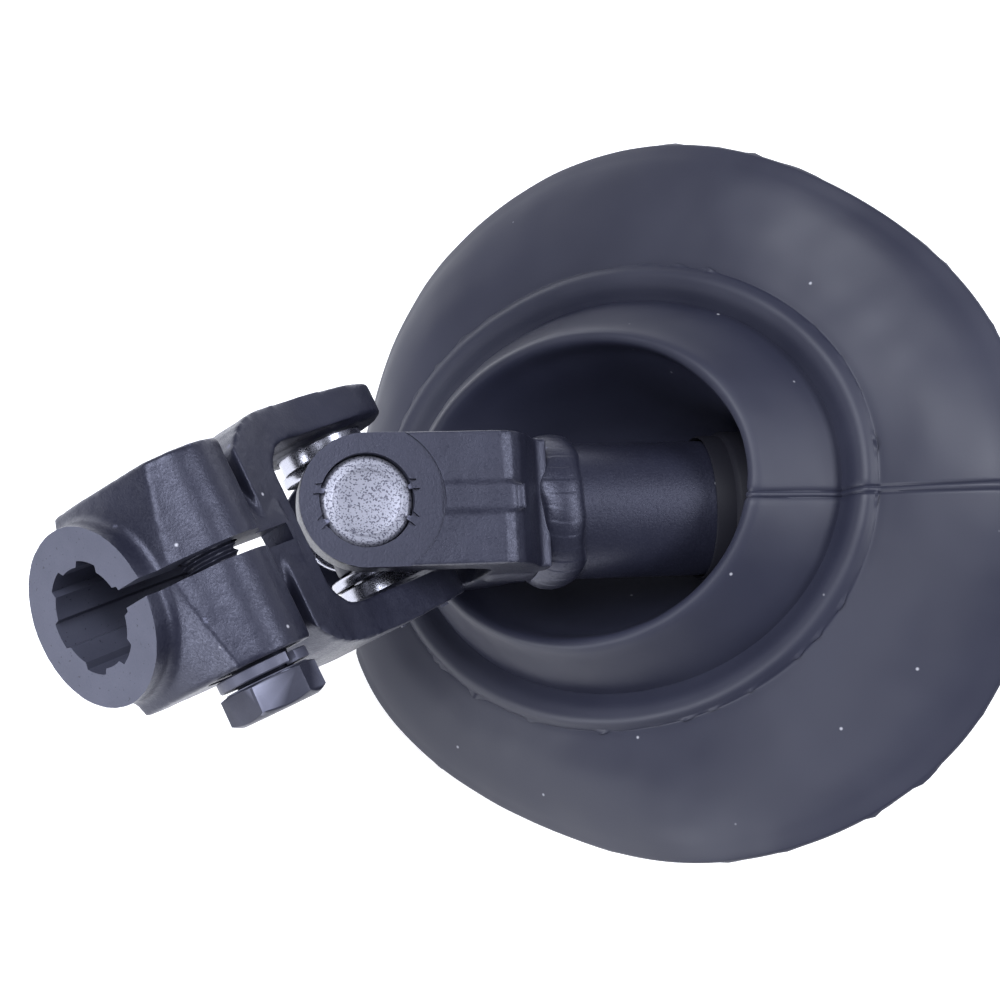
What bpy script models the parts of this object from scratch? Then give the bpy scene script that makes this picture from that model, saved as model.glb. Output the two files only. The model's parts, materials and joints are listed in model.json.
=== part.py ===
"""Intermediate steering shaft with two universal joints, a telescoping tube and a rubber firewall boot.

The shaft's own frame has its origin at the centre of the lower joint, +X along the tube to the
upper joint and +Z along the lower tube yoke's pin. The whole shaft is then laid down on the boot's
flattened rim and the upper yoke's ear, with +Z up.
"""

import math

import bmesh
import bpy
import numpy as np
from mathutils import Matrix, Vector

MM = 0.001

# Pose of the lower joint as the shaft lies on the bench
SWING_AT_REST = math.radians(23.0)
BEND_AT_REST = math.radians(35.0)

# Clearances. A touching pair keeps the fit gap.
FIT_GAP = 0.3 * MM
SLIDING_GAP = 0.2 * MM
OVERLAP = 2 * MM

# Bearings, built up from the cross outwards
TRUNNION_RADIUS = 4.95 * MM
TRUNNION_CHAMFER = 0.4 * MM
TRUNNION_SHOULDER = 9.0 * MM
SHOULDER_STEP = 1.85 * MM
HUB_STEP = 0.4 * MM
HUB_ROUNDING = 1.3 * MM
ROLLERS = 12
ROLLER_DIAMETER = 1.61 * MM
ROLLER_GAP = 0.12 * MM
ROLLER_END_PLAY = 0.4 * MM
CUP_WALL = 1.1 * MM
CUP_FLOOR = 1.6 * MM
CUP_LENGTH = 8.9 * MM
CUP_RECESS = 1.1 * MM
CUP_CHAMFER = 0.6 * MM
BORE_GAP = 0.2 * MM
SEAL_GAP = 0.3 * MM
SEAL_THICKNESS = 1.9 * MM
SEAL_LIP = 0.8 * MM
SHOULDER_RADIUS = TRUNNION_RADIUS + SHOULDER_STEP
CROSS_HUB = SHOULDER_RADIUS + HUB_STEP
CUP_RADIUS = TRUNNION_RADIUS + ROLLER_DIAMETER + 2 * ROLLER_GAP + CUP_WALL
ROLLER_LENGTH = CUP_LENGTH - CUP_FLOOR - FIT_GAP - ROLLER_END_PLAY
SEAL_RADIUS = CUP_RADIUS + SEAL_LIP
CUP_MOUTH = TRUNNION_SHOULDER + SEAL_THICKNESS + 2 * SEAL_GAP

# Ears of the forks
EAR_THICKNESS = 8 * MM
TUBE_EAR_WALL = 3.7 * MM
CLAMP_EAR_WALL = 4.7 * MM
CROTCH_FILLET = 6 * MM
TUBE_CROTCH = 25.5 * MM
CLAMP_CROTCH = 28.5 * MM
PAD_MARGIN = 1.3 * MM
ARM_RELIEF = 1.5 * MM
EAR_OUTER = CUP_MOUTH + CUP_LENGTH + CUP_RECESS
EAR_INNER = EAR_OUTER - EAR_THICKNESS
TUBE_EAR_RADIUS = CUP_RADIUS + TUBE_EAR_WALL
CLAMP_EAR_RADIUS = CUP_RADIUS + CLAMP_EAR_WALL
PAD_RADIUS = SEAL_RADIUS + PAD_MARGIN

# Shaft, and the yoke on its tube
JOINT_TO_JOINT = 300 * MM
TUBE_RADIUS = 12.35 * MM
TUBE_WALL = 2.1 * MM
TUBE_END = 190 * MM
STRAP_INSET = 1 * MM
SHOULDER_ROUNDING = 0.5 * MM
SHOULDER_DROP = 4 * MM
SHOULDER_TO_SHANK = 7 * MM
SHANK_LENGTH = 4.5 * MM
SPIGOT_LENGTH = 9 * MM
WELD_WIDTH = 8 * MM
WELD_HEIGHT = 1.7 * MM
WELD_GAP = 0.25 * MM
YOKE_SHOULDER = TUBE_CROTCH - STRAP_INSET
SHANK_START = YOKE_SHOULDER + SHOULDER_TO_SHANK
SHANK_END = SHANK_START + SHANK_LENGTH
TUBE_START = SHANK_END + FIT_GAP

# Clamp yoke
CLAMP_COLLAR_RADIUS = 14.9 * MM
CLAMP_COLLAR_LENGTH = 4 * MM
CLAMP_HUB_STEP = 0.7 * MM
FACE_CHAMFER = 0.5 * MM
NECK_LENGTH = 4.5 * MM
SHOULDER_LENGTH = 9.5 * MM
SHOULDER_DOME = 1 * MM
EAR_TAPER = 1.1 * MM
SPLINE_GROOVES = 6
SPLINE_OUTER = 9.3 * MM
SPLINE_DEPTH = 1 * MM
BOLT_ALONG = 46 * MM
BOSS_RADIUS = 9 * MM
BOSS_TO_FACE = 15.3 * MM
BAND_CREST = 1.8 * MM
BAND_SWELL = 0.5 * MM
BAND_EDGE = 2.4 * MM
LUG_HALF_WIDTH = 17.6 * MM
LUG_SKIRT = 4.7 * MM
LUG_ROUNDING = 2.4 * MM
LUG_SET_BACK = 3.6 * MM
SLOT_WIDTH = 3 * MM
SAW_RADIUS = 30 * MM
SAW_WALL = 5 * MM
BOLT_RADIUS = 4.7 * MM
BOLT_HOLE_GAP = 0.4 * MM
BOLT_BITE = 0.5 * MM
BOLT_HEAD_FLATS = 14.3 * MM
BOLT_HEAD_HEIGHT = 5.6 * MM
BOLT_CHAMFER = 0.8 * MM
BOLT_TIP_INSET = 0.6 * MM
WASHER_THICKNESS = 2.1 * MM
WASHER_WALL = 2.7 * MM
WASHER_SPLIT = 1.4 * MM
CLAMP_HUB_RADIUS = CLAMP_COLLAR_RADIUS + CLAMP_HUB_STEP
CLAMP_NECK = CLAMP_CROTCH + NECK_LENGTH
CLAMP_FACE = BOLT_ALONG + BOSS_TO_FACE
LUG_END = CLAMP_FACE - LUG_SET_BACK
SPLINE_INNER = SPLINE_OUTER - SPLINE_DEPTH
BOLT_HOLE_RADIUS = BOLT_RADIUS + BOLT_HOLE_GAP
# The bolt's hole just opens the bore, so that the bolt locks in the shaft's groove.
BOLT_OFFSET = SPLINE_OUTER + BOLT_HOLE_RADIUS - BOLT_BITE
WASHER_RADIUS = BOLT_RADIUS + FIT_GAP + WASHER_WALL
SAW_END = CLAMP_CROTCH + SAW_WALL

# Sliding shaft inside the tube
SLIP_TEETH = 12
SLIP_TIP_GAP = 1.25 * MM
SLIP_TOOTH_DEPTH = 1.2 * MM
SLIP_INNER_END = 112 * MM
BUSHING_LENGTH = 40 * MM
BUSHING_INSET = 3 * MM
END_SEAL_LIP = 7 * MM
END_SEAL_WALL = 1.4 * MM
END_SEAL_FACE = 2.6 * MM
END_SEAL_CHAMFER = 0.6 * MM
UPPER_SHANK_WALL = 2.5 * MM
UPPER_SHANK_LENGTH = 9.5 * MM
UPPER_SOCKET_DEPTH = 12 * MM
TUBE_BORE = TUBE_RADIUS - TUBE_WALL
SLIP_TIP_RADIUS = TUBE_BORE - SLIDING_GAP - SLIP_TIP_GAP
SLIP_ROOT_RADIUS = SLIP_TIP_RADIUS - SLIP_TOOTH_DEPTH
UPPER_SHANK_RADIUS = SLIP_TIP_RADIUS + FIT_GAP + UPPER_SHANK_WALL
UPPER_SHANK_END = SHANK_START + UPPER_SHANK_LENGTH

# Bush on the tube
BUSH_WALL = 1.35 * MM
BUSH_NOSE_STEP = 0.7 * MM
BUSH_NOSE_LENGTH = 4.6 * MM
BUSH_START = 64 * MM
BUSH_LENGTH = 33 * MM
BUSH_LIP_HEIGHT = 3 * MM
BUSH_LIP_THICKNESS = 2 * MM
BUSH_RADIUS = TUBE_RADIUS + FIT_GAP + BUSH_WALL
BUSH_NOSE_RADIUS = BUSH_RADIUS - BUSH_NOSE_STEP
BUSH_LIP_RADIUS = BUSH_RADIUS + BUSH_LIP_HEIGHT
BUSH_END = BUSH_START + BUSH_LENGTH

# Boot. Its flange, bead, groove and neck lie in planes that lean by the boot's tilt, round one
# centre. Half lengths run up the tilt and half widths across it.
BOOT_WALL = 2 * MM
BOOT_TILT = math.radians(42)
BOOT_ALONG = 51.8 * MM
BOOT_DROP = 12 * MM
BOOT_SIDE_SHIFT = 4.2 * MM
FLANGE_HALF_LENGTH = 73.8 * MM
FLANGE_HALF_WIDTH = 67.1 * MM
FLANGE_SLIDE = 5.8 * MM
FLANGE_DEPTH = 5.9 * MM
FLANGE_SIDE_SHIFT = 2.8 * MM
FLANGE_DISH = 1.6 * MM
BEAD_HALF_LENGTH = 51.6 * MM
BEAD_HALF_WIDTH = 42.6 * MM
BEAD_HEIGHT = 1.5 * MM
BEAD_ROLL = 2.6 * MM
GROOVE_WIDTH = 3.4 * MM
NECK_HEIGHT = 13.3 * MM
NECK_SLIDE = 0.7 * MM
RIM_LENGTH_CLEARANCE = 14.7 * MM
RIM_WIDTH_CLEARANCE = 7.6 * MM
BOWL_SAG = 3.2 * MM
BOWL_ROUNDING = 0.8
BOWL_TURNING = 1.6
COLLAR_LENGTH = 18 * MM
COLLAR_LEAN = 2 * MM
BOOT_SEGMENTS = 36
RIM_FLAT_ANGLE = math.radians(20)
# How the flange's edge is out of round and out of flat: lobes, size and phase
EDGE_LOBES = ((2, 1.6 * MM, -141), (3, 1.3 * MM, -175), (4, 0.9 * MM, 10))
EDGE_WAVES = ((2, 1.2 * MM, -82), (4, 1.2 * MM, 64), (5, 2.1 * MM, 122))
RIM_HALF_LENGTH = EAR_OUTER + RIM_LENGTH_CLEARANCE
RIM_HALF_WIDTH = EAR_OUTER + RIM_WIDTH_CLEARANCE
COLLAR_RADIUS = BUSH_RADIUS + FIT_GAP + BOOT_WALL / 2
COLLAR_END = BUSH_END - FIT_GAP - BOOT_WALL / 2
COLLAR_START = COLLAR_END - COLLAR_LENGTH

STEEL_PAINT = (0.030, 0.032, 0.050, 1)
BRIGHT_STEEL = (0.42, 0.42, 0.50, 1)
RUBBER = (0.060, 0.062, 0.100, 1)
DARK_RUBBER = (0.02, 0.02, 0.025, 1)
WHITE_NYLON = (0.75, 0.75, 0.70, 1)
BLACK_NYLON = (0.035, 0.035, 0.045, 1)

# Facets round a small turned piece and round the cross
ROUND_SIDES = 20
SPINDLE_SIDES = 16


def clear_scene():
    for old in list(bpy.data.objects):
        bpy.data.objects.remove(old, do_unlink=True)


def collection(name):
    made = bpy.data.collections.new(name)
    bpy.context.scene.collection.children.link(made)
    return made


def finish(name, colour, roughness, metallic):
    material = bpy.data.materials.new(name)
    material.use_nodes = True
    shader = material.node_tree.nodes["Principled BSDF"]
    shader.inputs["Base Color"].default_value = colour
    shader.inputs["Roughness"].default_value = roughness
    shader.inputs["Metallic"].default_value = metallic
    return material


clear_scene()
PARTS = collection("intermediate_steering_shaft")
CUTTERS = collection("cutters")
FINISHES = {
    "paint": finish("black_paint_on_forging", STEEL_PAINT, 0.4, 0.3),
    "steel": finish("bright_steel", BRIGHT_STEEL, 0.35, 1.0),
    "bolt": finish("black_oxide_bolt", STEEL_PAINT, 0.45, 0.8),
    "rubber": finish("boot_rubber", RUBBER, 0.55, 0.0),
    "seal": finish("seal_rubber", DARK_RUBBER, 0.6, 0.0),
    "nylon": finish("white_nylon", WHITE_NYLON, 0.45, 0.0),
    "bush": finish("black_nylon", BLACK_NYLON, 0.5, 0.0),
}


def empty(name, parent, matrix):
    """A frame that pieces hang on: a joint's axis, or one yoke's own axes."""
    made = bpy.data.objects.new(name, None)
    PARTS.objects.link(made)
    made.parent = parent
    made.matrix_local = matrix
    return made


def axes(x, y, z):
    """The matrix whose columns are these three directions."""
    return Matrix((x, y, z)).transposed().to_4x4()


def place(name, mesh, parent, material):
    """Puts a mesh in the scene as one sub-part, or as a hidden helper where it has no material."""
    made = bpy.data.objects.new(name, mesh)
    made.parent = parent
    if material is None:
        CUTTERS.objects.link(made)
        made.hide_render = True
        made.display_type = "WIRE"
    else:
        PARTS.objects.link(made)
        mesh.materials.append(FINISHES[material])
        mesh.shade_smooth()
        mesh.set_sharp_from_angle(angle=math.radians(35))
    return made


def boolean(host, tool, operation="DIFFERENCE"):
    step = host.modifiers.new(tool.name, "BOOLEAN")
    step.operation = operation
    step.solver = "EXACT"
    step.object = tool
    return host


def turned(name, profile, parent, material, sides=ROUND_SIDES, closed=True, direction="Z"):
    """A turned piece. The profile is (radius, height) pairs that run down its outer side."""
    mesh = bpy.data.meshes.new(name)
    edges = [(i, i + 1) for i in range(len(profile) - 1)]
    if closed:
        edges.append((len(profile) - 1, 0))
    mesh.from_pydata([(r, 0, h) for r, h in profile], edges, [])
    made = place(name, mesh, parent, material)
    screw = made.modifiers.new("turn", "SCREW")
    screw.axis = "Z"
    screw.steps = sides
    screw.render_steps = sides
    screw.use_merge_vertices = True
    screw.merge_threshold = 0.00001
    screw.use_smooth_shade = True
    if direction == "X":
        made.matrix_local = axes((0, 0, -1), (0, 1, 0), (1, 0, 0))
    elif direction == "Y":
        made.matrix_local = axes((1, 0, 0), (0, 0, -1), (0, 1, 0))
    elif direction == "-Z":
        made.matrix_local = axes((1, 0, 0), (0, -1, 0), (0, 0, -1))
    return made


def rod(name, radius, start, end, parent, material=None, sides=32, direction="X"):
    """A plain round rod between two heights along an axis."""
    profile = [(0, end), (radius, end), (radius, start), (0, start)]
    return turned(name, profile, parent, material, sides, False, direction)


def arc(centre, radius, start, end, steps):
    """Points on an arc, angles in degrees, both ends included."""
    turn = [math.radians(start + (end - start) * i / steps) for i in range(steps + 1)]
    return [(centre[0] + radius * math.cos(a), centre[1] + radius * math.sin(a)) for a in turn]


def extruded(name, outlines, half, parent, material=None, middle=0.0, direction="Z", rounding=0.0):
    """Flat outlines, the later ones being holes, given a thickness of twice half about middle."""
    curve = bpy.data.curves.new(name, "CURVE")
    curve.dimensions = "2D"
    curve.fill_mode = "BOTH"
    curve.extrude = half
    for outline in outlines:
        spline = curve.splines.new("POLY")
        spline.points.add(len(outline) - 1)
        for point, (x, y) in zip(spline.points, outline):
            point.co = (x, y, 0, 1)
        spline.use_cyclic_u = True
    flat = bpy.data.objects.new(name + "_outline", curve)
    CUTTERS.objects.link(flat)
    bpy.context.view_layer.update()
    graph = bpy.context.evaluated_depsgraph_get()
    mesh = bpy.data.meshes.new_from_object(flat.evaluated_get(graph))
    bpy.data.objects.remove(flat)
    shape = bmesh.new()
    shape.from_mesh(mesh)
    bmesh.ops.remove_doubles(shape, verts=shape.verts, dist=0.000001)
    bmesh.ops.translate(shape, verts=shape.verts, vec=(0, 0, middle))
    if direction == "Y":
        # Outline X stays X and outline Y becomes Z, with the thickness along Y.
        bmesh.ops.transform(shape, verts=shape.verts, matrix=axes((1, 0, 0), (0, 0, 1), (0, -1, 0)))
    elif direction == "X":
        bmesh.ops.transform(shape, verts=shape.verts, matrix=axes((0, 1, 0), (0, 0, 1), (1, 0, 0)))
    bmesh.ops.recalc_face_normals(shape, faces=shape.faces)
    shape.to_mesh(mesh)
    shape.free()
    mesh.name = name
    made = place(name, mesh, parent, material)
    if rounding:
        bevel = made.modifiers.new("rounding", "BEVEL")
        bevel.width = rounding
        bevel.segments = 2
        bevel.limit_method = "ANGLE"
        bevel.angle_limit = math.radians(60)
    return made


def mirrored(outline):
    """The outline's upper half followed by its mirror image below the X axis."""
    return outline + [(x, -y) for x, y in reversed(outline) if y > 1e-9]


def crotch_cutter(name, parent, reach):
    """The space between the ears: a round slab about the pin, wider beyond each ear's machined pad."""
    arm_inner = EAR_INNER + ARM_RELIEF
    fillet = arc((reach - CROTCH_FILLET, arm_inner - CROTCH_FILLET), CROTCH_FILLET, 90, 0, 3)
    side = [(PAD_RADIUS, EAR_INNER), (PAD_RADIUS + ARM_RELIEF, arm_inner)] + fillet
    profile = [(0, EAR_INNER)] + side + [(r, -z) for r, z in reversed(side)] + [(0, -EAR_INNER)]
    return turned(name, profile, parent, None, 28, False)


def cut_ears(yoke, parent, crotch):
    """Opens the crotch and bores both ears for the cups."""
    boolean(yoke, crotch_cutter(yoke.name + "_crotch", parent, crotch))
    reach = EAR_OUTER + OVERLAP
    bore = rod(yoke.name + "_bore", CUP_RADIUS + BORE_GAP, -reach, reach, parent, None, ROUND_SIDES, "Z")
    return boolean(yoke, bore)


def tube_yoke(name, parent, shank_radius, shank_end):
    """The forged fork that is welded to the tube or to the sliding shaft."""
    top = EAR_OUTER
    plan = mirrored(
        arc((0, 0), TUBE_EAR_RADIUS, 180, 90, 9) + [(SHANK_START + OVERLAP, TUBE_EAR_RADIUS)]
    )
    yoke = extruded(name, [plan], top, parent, "paint")
    side = mirrored([
        (-2 * TUBE_EAR_RADIUS, top),
        (YOKE_SHOULDER, top),
        (YOKE_SHOULDER + SHOULDER_DROP / 2, top - SHOULDER_ROUNDING),
        (YOKE_SHOULDER + SHOULDER_DROP, top - SHOULDER_DROP),
        (SHANK_START, shank_radius),
        (shank_end, shank_radius),
    ])
    boolean(yoke, extruded(name + "_side", [side], 2 * top, parent, None, 0, "Y"), "INTERSECT")
    shank = rod(name + "_shank", shank_radius, YOKE_SHOULDER, shank_end, parent)
    boolean(yoke, shank, "UNION")
    return cut_ears(yoke, parent, TUBE_CROTCH)


def spline_outline():
    """The clamp's broad-toothed bore: lands and grooves of equal width, joined by short flanks."""
    pitch = 360 / SPLINE_GROOVES
    points = []
    for groove in range(SPLINE_GROOVES):
        first = pitch * groove
        points += arc((0, 0), SPLINE_OUTER, first - 0.22 * pitch, first + 0.22 * pitch, 3)
        points += arc((0, 0), SPLINE_INNER, first + 0.28 * pitch, first + 0.72 * pitch, 3)
    return points


def lug_outline():
    """Seen along the bolt: the boss round the bolt, two soft bands and the drop to the collar."""
    boss = arc((BOLT_ALONG, BOLT_OFFSET), BOSS_RADIUS, 180, 52, 8)
    crest = CLAMP_HUB_RADIUS + BAND_CREST
    bands = [
        (BOLT_ALONG + BOSS_RADIUS - BAND_CREST, crest + BAND_SWELL),
        (LUG_END - BAND_EDGE, crest),
        (LUG_END - BAND_EDGE / 4, crest - BAND_EDGE / 2),
        (LUG_END, CLAMP_COLLAR_RADIUS - FACE_CHAMFER),
        (LUG_END, -LUG_SKIRT),
        (BOLT_ALONG - BOSS_RADIUS, -LUG_SKIRT),
    ]
    return boss + bands


def lug_limit(name, parent):
    """The round shoulder that trims the lugs where they meet the collar."""
    wide = BOLT_OFFSET + 2 * BOSS_RADIUS
    slope = wide - CLAMP_COLLAR_RADIUS
    profile = [
        (0, LUG_END),
        (CLAMP_COLLAR_RADIUS, LUG_END),
        (CLAMP_COLLAR_RADIUS + slope / 4, LUG_END - slope / 8),
        (wide, LUG_END - slope / 2),
        (wide, 0),
        (0, 0),
    ]
    return turned(name, profile, parent, None, 28, False, "X")


def clamp_yoke(name, parent):
    """The forged fork with a splined, saw-cut clamp on its end."""
    shoulder = CLAMP_NECK - SHOULDER_LENGTH
    plan = mirrored(
        arc((0, 0), CLAMP_EAR_RADIUS, 180, 90, 9)
        + [(CLAMP_CROTCH / 2, CLAMP_EAR_RADIUS), (CLAMP_NECK, CLAMP_HUB_RADIUS - FIT_GAP)]
    )
    yoke = extruded(name, [plan], EAR_OUTER, parent, "paint")
    drop = EAR_OUTER - CLAMP_HUB_RADIUS
    side = mirrored([
        (-CLAMP_EAR_RADIUS, EAR_OUTER - EAR_TAPER),
        (CUP_RADIUS, EAR_OUTER),
        (shoulder, EAR_OUTER),
        (shoulder + SHOULDER_LENGTH / 2, EAR_OUTER - SHOULDER_DOME),
        (shoulder + 0.8 * SHOULDER_LENGTH, EAR_OUTER - drop / 2),
        (CLAMP_NECK, CLAMP_HUB_RADIUS),
    ])
    boolean(yoke, extruded(name + "_side", [side], 2 * EAR_OUTER, parent, None, 0, "Y"), "INTERSECT")
    hub_start = CLAMP_NECK - SHOULDER_LENGTH / 2
    hub_profile = [
        (0, CLAMP_FACE),
        (CLAMP_COLLAR_RADIUS - FACE_CHAMFER, CLAMP_FACE),
        (CLAMP_COLLAR_RADIUS, CLAMP_FACE - FACE_CHAMFER),
        (CLAMP_COLLAR_RADIUS, CLAMP_FACE - CLAMP_COLLAR_LENGTH),
        (CLAMP_HUB_RADIUS, CLAMP_FACE - CLAMP_COLLAR_LENGTH - 2 * CLAMP_HUB_STEP),
        (CLAMP_HUB_RADIUS, hub_start),
        (0, hub_start),
    ]
    hub = turned(name + "_hub", hub_profile, parent, None, 28, False, "X")
    boolean(yoke, hub, "UNION")
    lugs = extruded(name + "_lugs", [lug_outline()], LUG_HALF_WIDTH, parent, rounding=LUG_ROUNDING)
    boolean(lugs, lug_limit(name + "_lug_limit", parent), "INTERSECT")
    boolean(yoke, lugs, "UNION")
    cut_ears(yoke, parent, CLAMP_CROTCH)
    slot_end = CLAMP_FACE + OVERLAP
    length = slot_end - CLAMP_CROTCH + EAR_THICKNESS
    middle = slot_end - length / 2
    bore = extruded(name + "_spline", [spline_outline()], length / 2, parent, None, middle, "X")
    boolean(yoke, bore)
    # The saw cut ends in the blade's own curve.
    top = BOLT_OFFSET + 2 * BOSS_RADIUS
    saw_centre = (SAW_END + SAW_RADIUS * math.cos(math.radians(30)), SAW_RADIUS / 2)
    saw_cut = arc(saw_centre, SAW_RADIUS, 210, 150, 6) + [(slot_end, top), (slot_end, 0)]
    boolean(yoke, extruded(name + "_slot", [saw_cut], SLOT_WIDTH / 2, parent))
    hole_reach = LUG_HALF_WIDTH + OVERLAP
    hole = rod(name + "_bolt_hole", BOLT_HOLE_RADIUS, -hole_reach, hole_reach, parent, None, 20, "Z")
    hole.location = (BOLT_ALONG, BOLT_OFFSET, 0)
    return boolean(yoke, hole)


def clamp_bolt(name, parent):
    """Hexagon-head pinch bolt, its head on the lower lug."""
    under_head = -(LUG_HALF_WIDTH + WASHER_THICKNESS + 2 * FIT_GAP)
    corner = BOLT_HEAD_FLATS / 2 / math.cos(math.pi / 6)
    shape = bmesh.new()
    bmesh.ops.create_cone(
        shape, cap_ends=True, segments=6, radius1=corner, radius2=corner, depth=BOLT_HEAD_HEIGHT
    )
    flats_to_sides = Matrix.Rotation(math.pi / 6, 3, "Z")
    bmesh.ops.rotate(shape, verts=shape.verts, cent=(0, 0, 0), matrix=flats_to_sides)
    bmesh.ops.translate(shape, verts=shape.verts, vec=(0, 0, under_head - BOLT_HEAD_HEIGHT / 2))
    mesh = bpy.data.meshes.new(name)
    shape.to_mesh(mesh)
    shape.free()
    bolt = place(name, mesh, parent, "bolt")
    bolt.location = (BOLT_ALONG, BOLT_OFFSET, 0)
    tip = LUG_HALF_WIDTH - BOLT_TIP_INSET
    profile = [
        (0, tip),
        (BOLT_RADIUS - BOLT_CHAMFER, tip),
        (BOLT_RADIUS, tip - BOLT_CHAMFER),
        (BOLT_RADIUS, under_head - BOLT_CHAMFER),
        (0, under_head - BOLT_CHAMFER),
    ]
    shank = turned(name + "_shank", profile, parent, None, 20, False)
    shank.location = bolt.location
    boolean(bolt, shank, "UNION")
    # The forged chamfer takes the corners off the head's outer face.
    low = under_head - BOLT_HEAD_HEIGHT
    beyond = tip + OVERLAP
    cone = [(0, beyond), (2 * corner, beyond), (2 * corner, under_head),
            (corner, low + BOLT_CHAMFER), (BOLT_HEAD_FLATS / 2 - FIT_GAP, low), (0, low)]
    chamfering = turned(name + "_chamfer", cone, parent, None, 32, False)
    chamfering.location = bolt.location
    return boolean(bolt, chamfering, "INTERSECT")


def lock_washer(name, parent):
    """Spring washer under the bolt's head, split by a slanted cut."""
    top = -(LUG_HALF_WIDTH + FIT_GAP)
    low = top - WASHER_THICKNESS
    inner = BOLT_RADIUS + FIT_GAP
    profile = [(WASHER_RADIUS, top), (WASHER_RADIUS, low), (inner, low), (inner, top)]
    washer = turned(name, profile, parent, "bolt", 32)
    washer.location = (BOLT_ALONG, BOLT_OFFSET, 0)
    lean = WASHER_THICKNESS
    gap = [(-WASHER_SPLIT / 2 - lean, 2 * low), (-WASHER_SPLIT / 2 + lean, 0),
           (WASHER_SPLIT / 2 + lean, 0), (WASHER_SPLIT / 2 - lean, 2 * low)]
    slit = extruded(name + "_split", [gap], WASHER_RADIUS, parent, None, 0, "Y")
    slit.location = (BOLT_ALONG, BOLT_OFFSET + WASHER_RADIUS, 0)
    return boolean(washer, slit)


def cross(name, parent):
    """The joint's spider: two crossed spindles on a small block."""
    tip = CUP_MOUTH + CUP_LENGTH - CUP_FLOOR - FIT_GAP
    half = [
        (0, tip),
        (TRUNNION_RADIUS - TRUNNION_CHAMFER, tip),
        (TRUNNION_RADIUS, tip - TRUNNION_CHAMFER),
        (TRUNNION_RADIUS, TRUNNION_SHOULDER + SEAL_GAP),
        (SHOULDER_RADIUS, TRUNNION_SHOULDER),
        (SHOULDER_RADIUS, TRUNNION_SHOULDER / 2),
    ]
    profile = half + [(r, -h) for r, h in reversed(half)]
    shape = bmesh.new()
    bmesh.ops.create_cube(shape, size=2 * CROSS_HUB)
    bmesh.ops.bevel(shape, geom=list(shape.edges), offset=HUB_ROUNDING, segments=2, affect="EDGES")
    mesh = bpy.data.meshes.new(name)
    shape.to_mesh(mesh)
    shape.free()
    spider = place(name, mesh, parent, "steel")
    boolean(spider, turned(name + "_along_z", profile, parent, None, SPINDLE_SIDES, False), "UNION")
    return boolean(spider, turned(name + "_along_y", profile, parent, None, SPINDLE_SIDES, False, "Y"), "UNION")


def cup_assembly(prefix, parent):
    """The two cups of one yoke, each with its rollers and its seal, on the yoke's pin."""
    for side, direction in (("front", "Z"), ("rear", "-Z")):
        mouth = CUP_MOUTH
        top = mouth + CUP_LENGTH
        bore = CUP_RADIUS - CUP_WALL
        floor = top - CUP_FLOOR
        cup = [
            (0, top),
            (CUP_RADIUS - CUP_CHAMFER, top),
            (CUP_RADIUS, top - CUP_CHAMFER),
            (CUP_RADIUS, mouth),
            (bore, mouth),
            (bore, floor),
            (0, floor),
        ]
        turned(f"{prefix}_cup_{side}", cup, parent, "steel", ROUND_SIDES, False, direction)
        roller = ROLLER_DIAMETER / 2
        track = (bore + TRUNNION_RADIUS) / 2
        outer, inner = [], []
        for i in range(ROLLERS):
            turn = 2 * math.pi * i / ROLLERS
            between = turn + math.pi / ROLLERS
            outer.append(polar(track + roller, turn))
            outer.append(polar(track + 0.45 * roller, between))
            inner.append(polar(track - roller, turn))
            inner.append(polar(track - 0.45 * roller, between))
        start = floor - FIT_GAP - ROLLER_LENGTH
        middle = start + ROLLER_LENGTH / 2
        if side == "rear":
            middle = -middle
        extruded(
            f"{prefix}_rollers_{side}", [outer, inner], ROLLER_LENGTH / 2, parent, "steel", middle
        )
        seal_top = mouth - SEAL_GAP
        seal_low = TRUNNION_SHOULDER + SEAL_GAP
        seal_bore = TRUNNION_RADIUS + SEAL_GAP
        seal = [
            (SEAL_RADIUS, seal_top),
            (SEAL_RADIUS, seal_low),
            (seal_bore, seal_low),
            (seal_bore, seal_top),
        ]
        turned(f"{prefix}_seal_{side}", seal, parent, "seal", ROUND_SIDES, True, direction)


def polar(radius, turn):
    return (radius * math.cos(turn), radius * math.sin(turn))


def weld_bead(name, parent, radius, middle, direction="X"):
    """A raised ring of weld over the seam between a yoke's shank and the tube."""
    inner = radius + WELD_GAP
    half = WELD_WIDTH / 2
    crown = [(inner + WELD_HEIGHT * math.sin(math.radians(a)), middle + half * math.cos(math.radians(a)))
             for a in (0, 35, 90, 145, 180)]
    return turned(name, crown, parent, "paint", 24, True, direction)


def outer_tube(parent):
    profile = [
        (TUBE_RADIUS, TUBE_END),
        (TUBE_RADIUS, TUBE_START),
        (TUBE_BORE, TUBE_START),
        (TUBE_BORE, TUBE_END),
    ]
    return turned("outer_tube", profile, parent, "paint", 32, True, "X")


def lower_yoke_with_spigot(parent):
    """The lower tube yoke, whose spigot centres it in the tube."""
    yoke = tube_yoke("lower_tube_yoke", parent, TUBE_RADIUS, SHANK_END)
    fit = TUBE_BORE - SLIDING_GAP
    spigot = rod("lower_tube_yoke_spigot", fit, SHANK_END - OVERLAP, SHANK_END + SPIGOT_LENGTH, parent)
    return boolean(yoke, spigot, "UNION")


def toothed(tip, root, teeth, flank=0.12):
    """A straight-sided spline's outline."""
    pitch = 2 * math.pi / teeth
    outline = []
    for i in range(teeth):
        middle = pitch * i
        outline.append(polar(root, middle - pitch * (0.25 + flank)))
        outline.append(polar(tip, middle - pitch * (0.25 - flank / 2)))
        outline.append(polar(tip, middle + pitch * (0.25 - flank / 2)))
        outline.append(polar(root, middle + pitch * (0.25 + flank)))
    return outline


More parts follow.
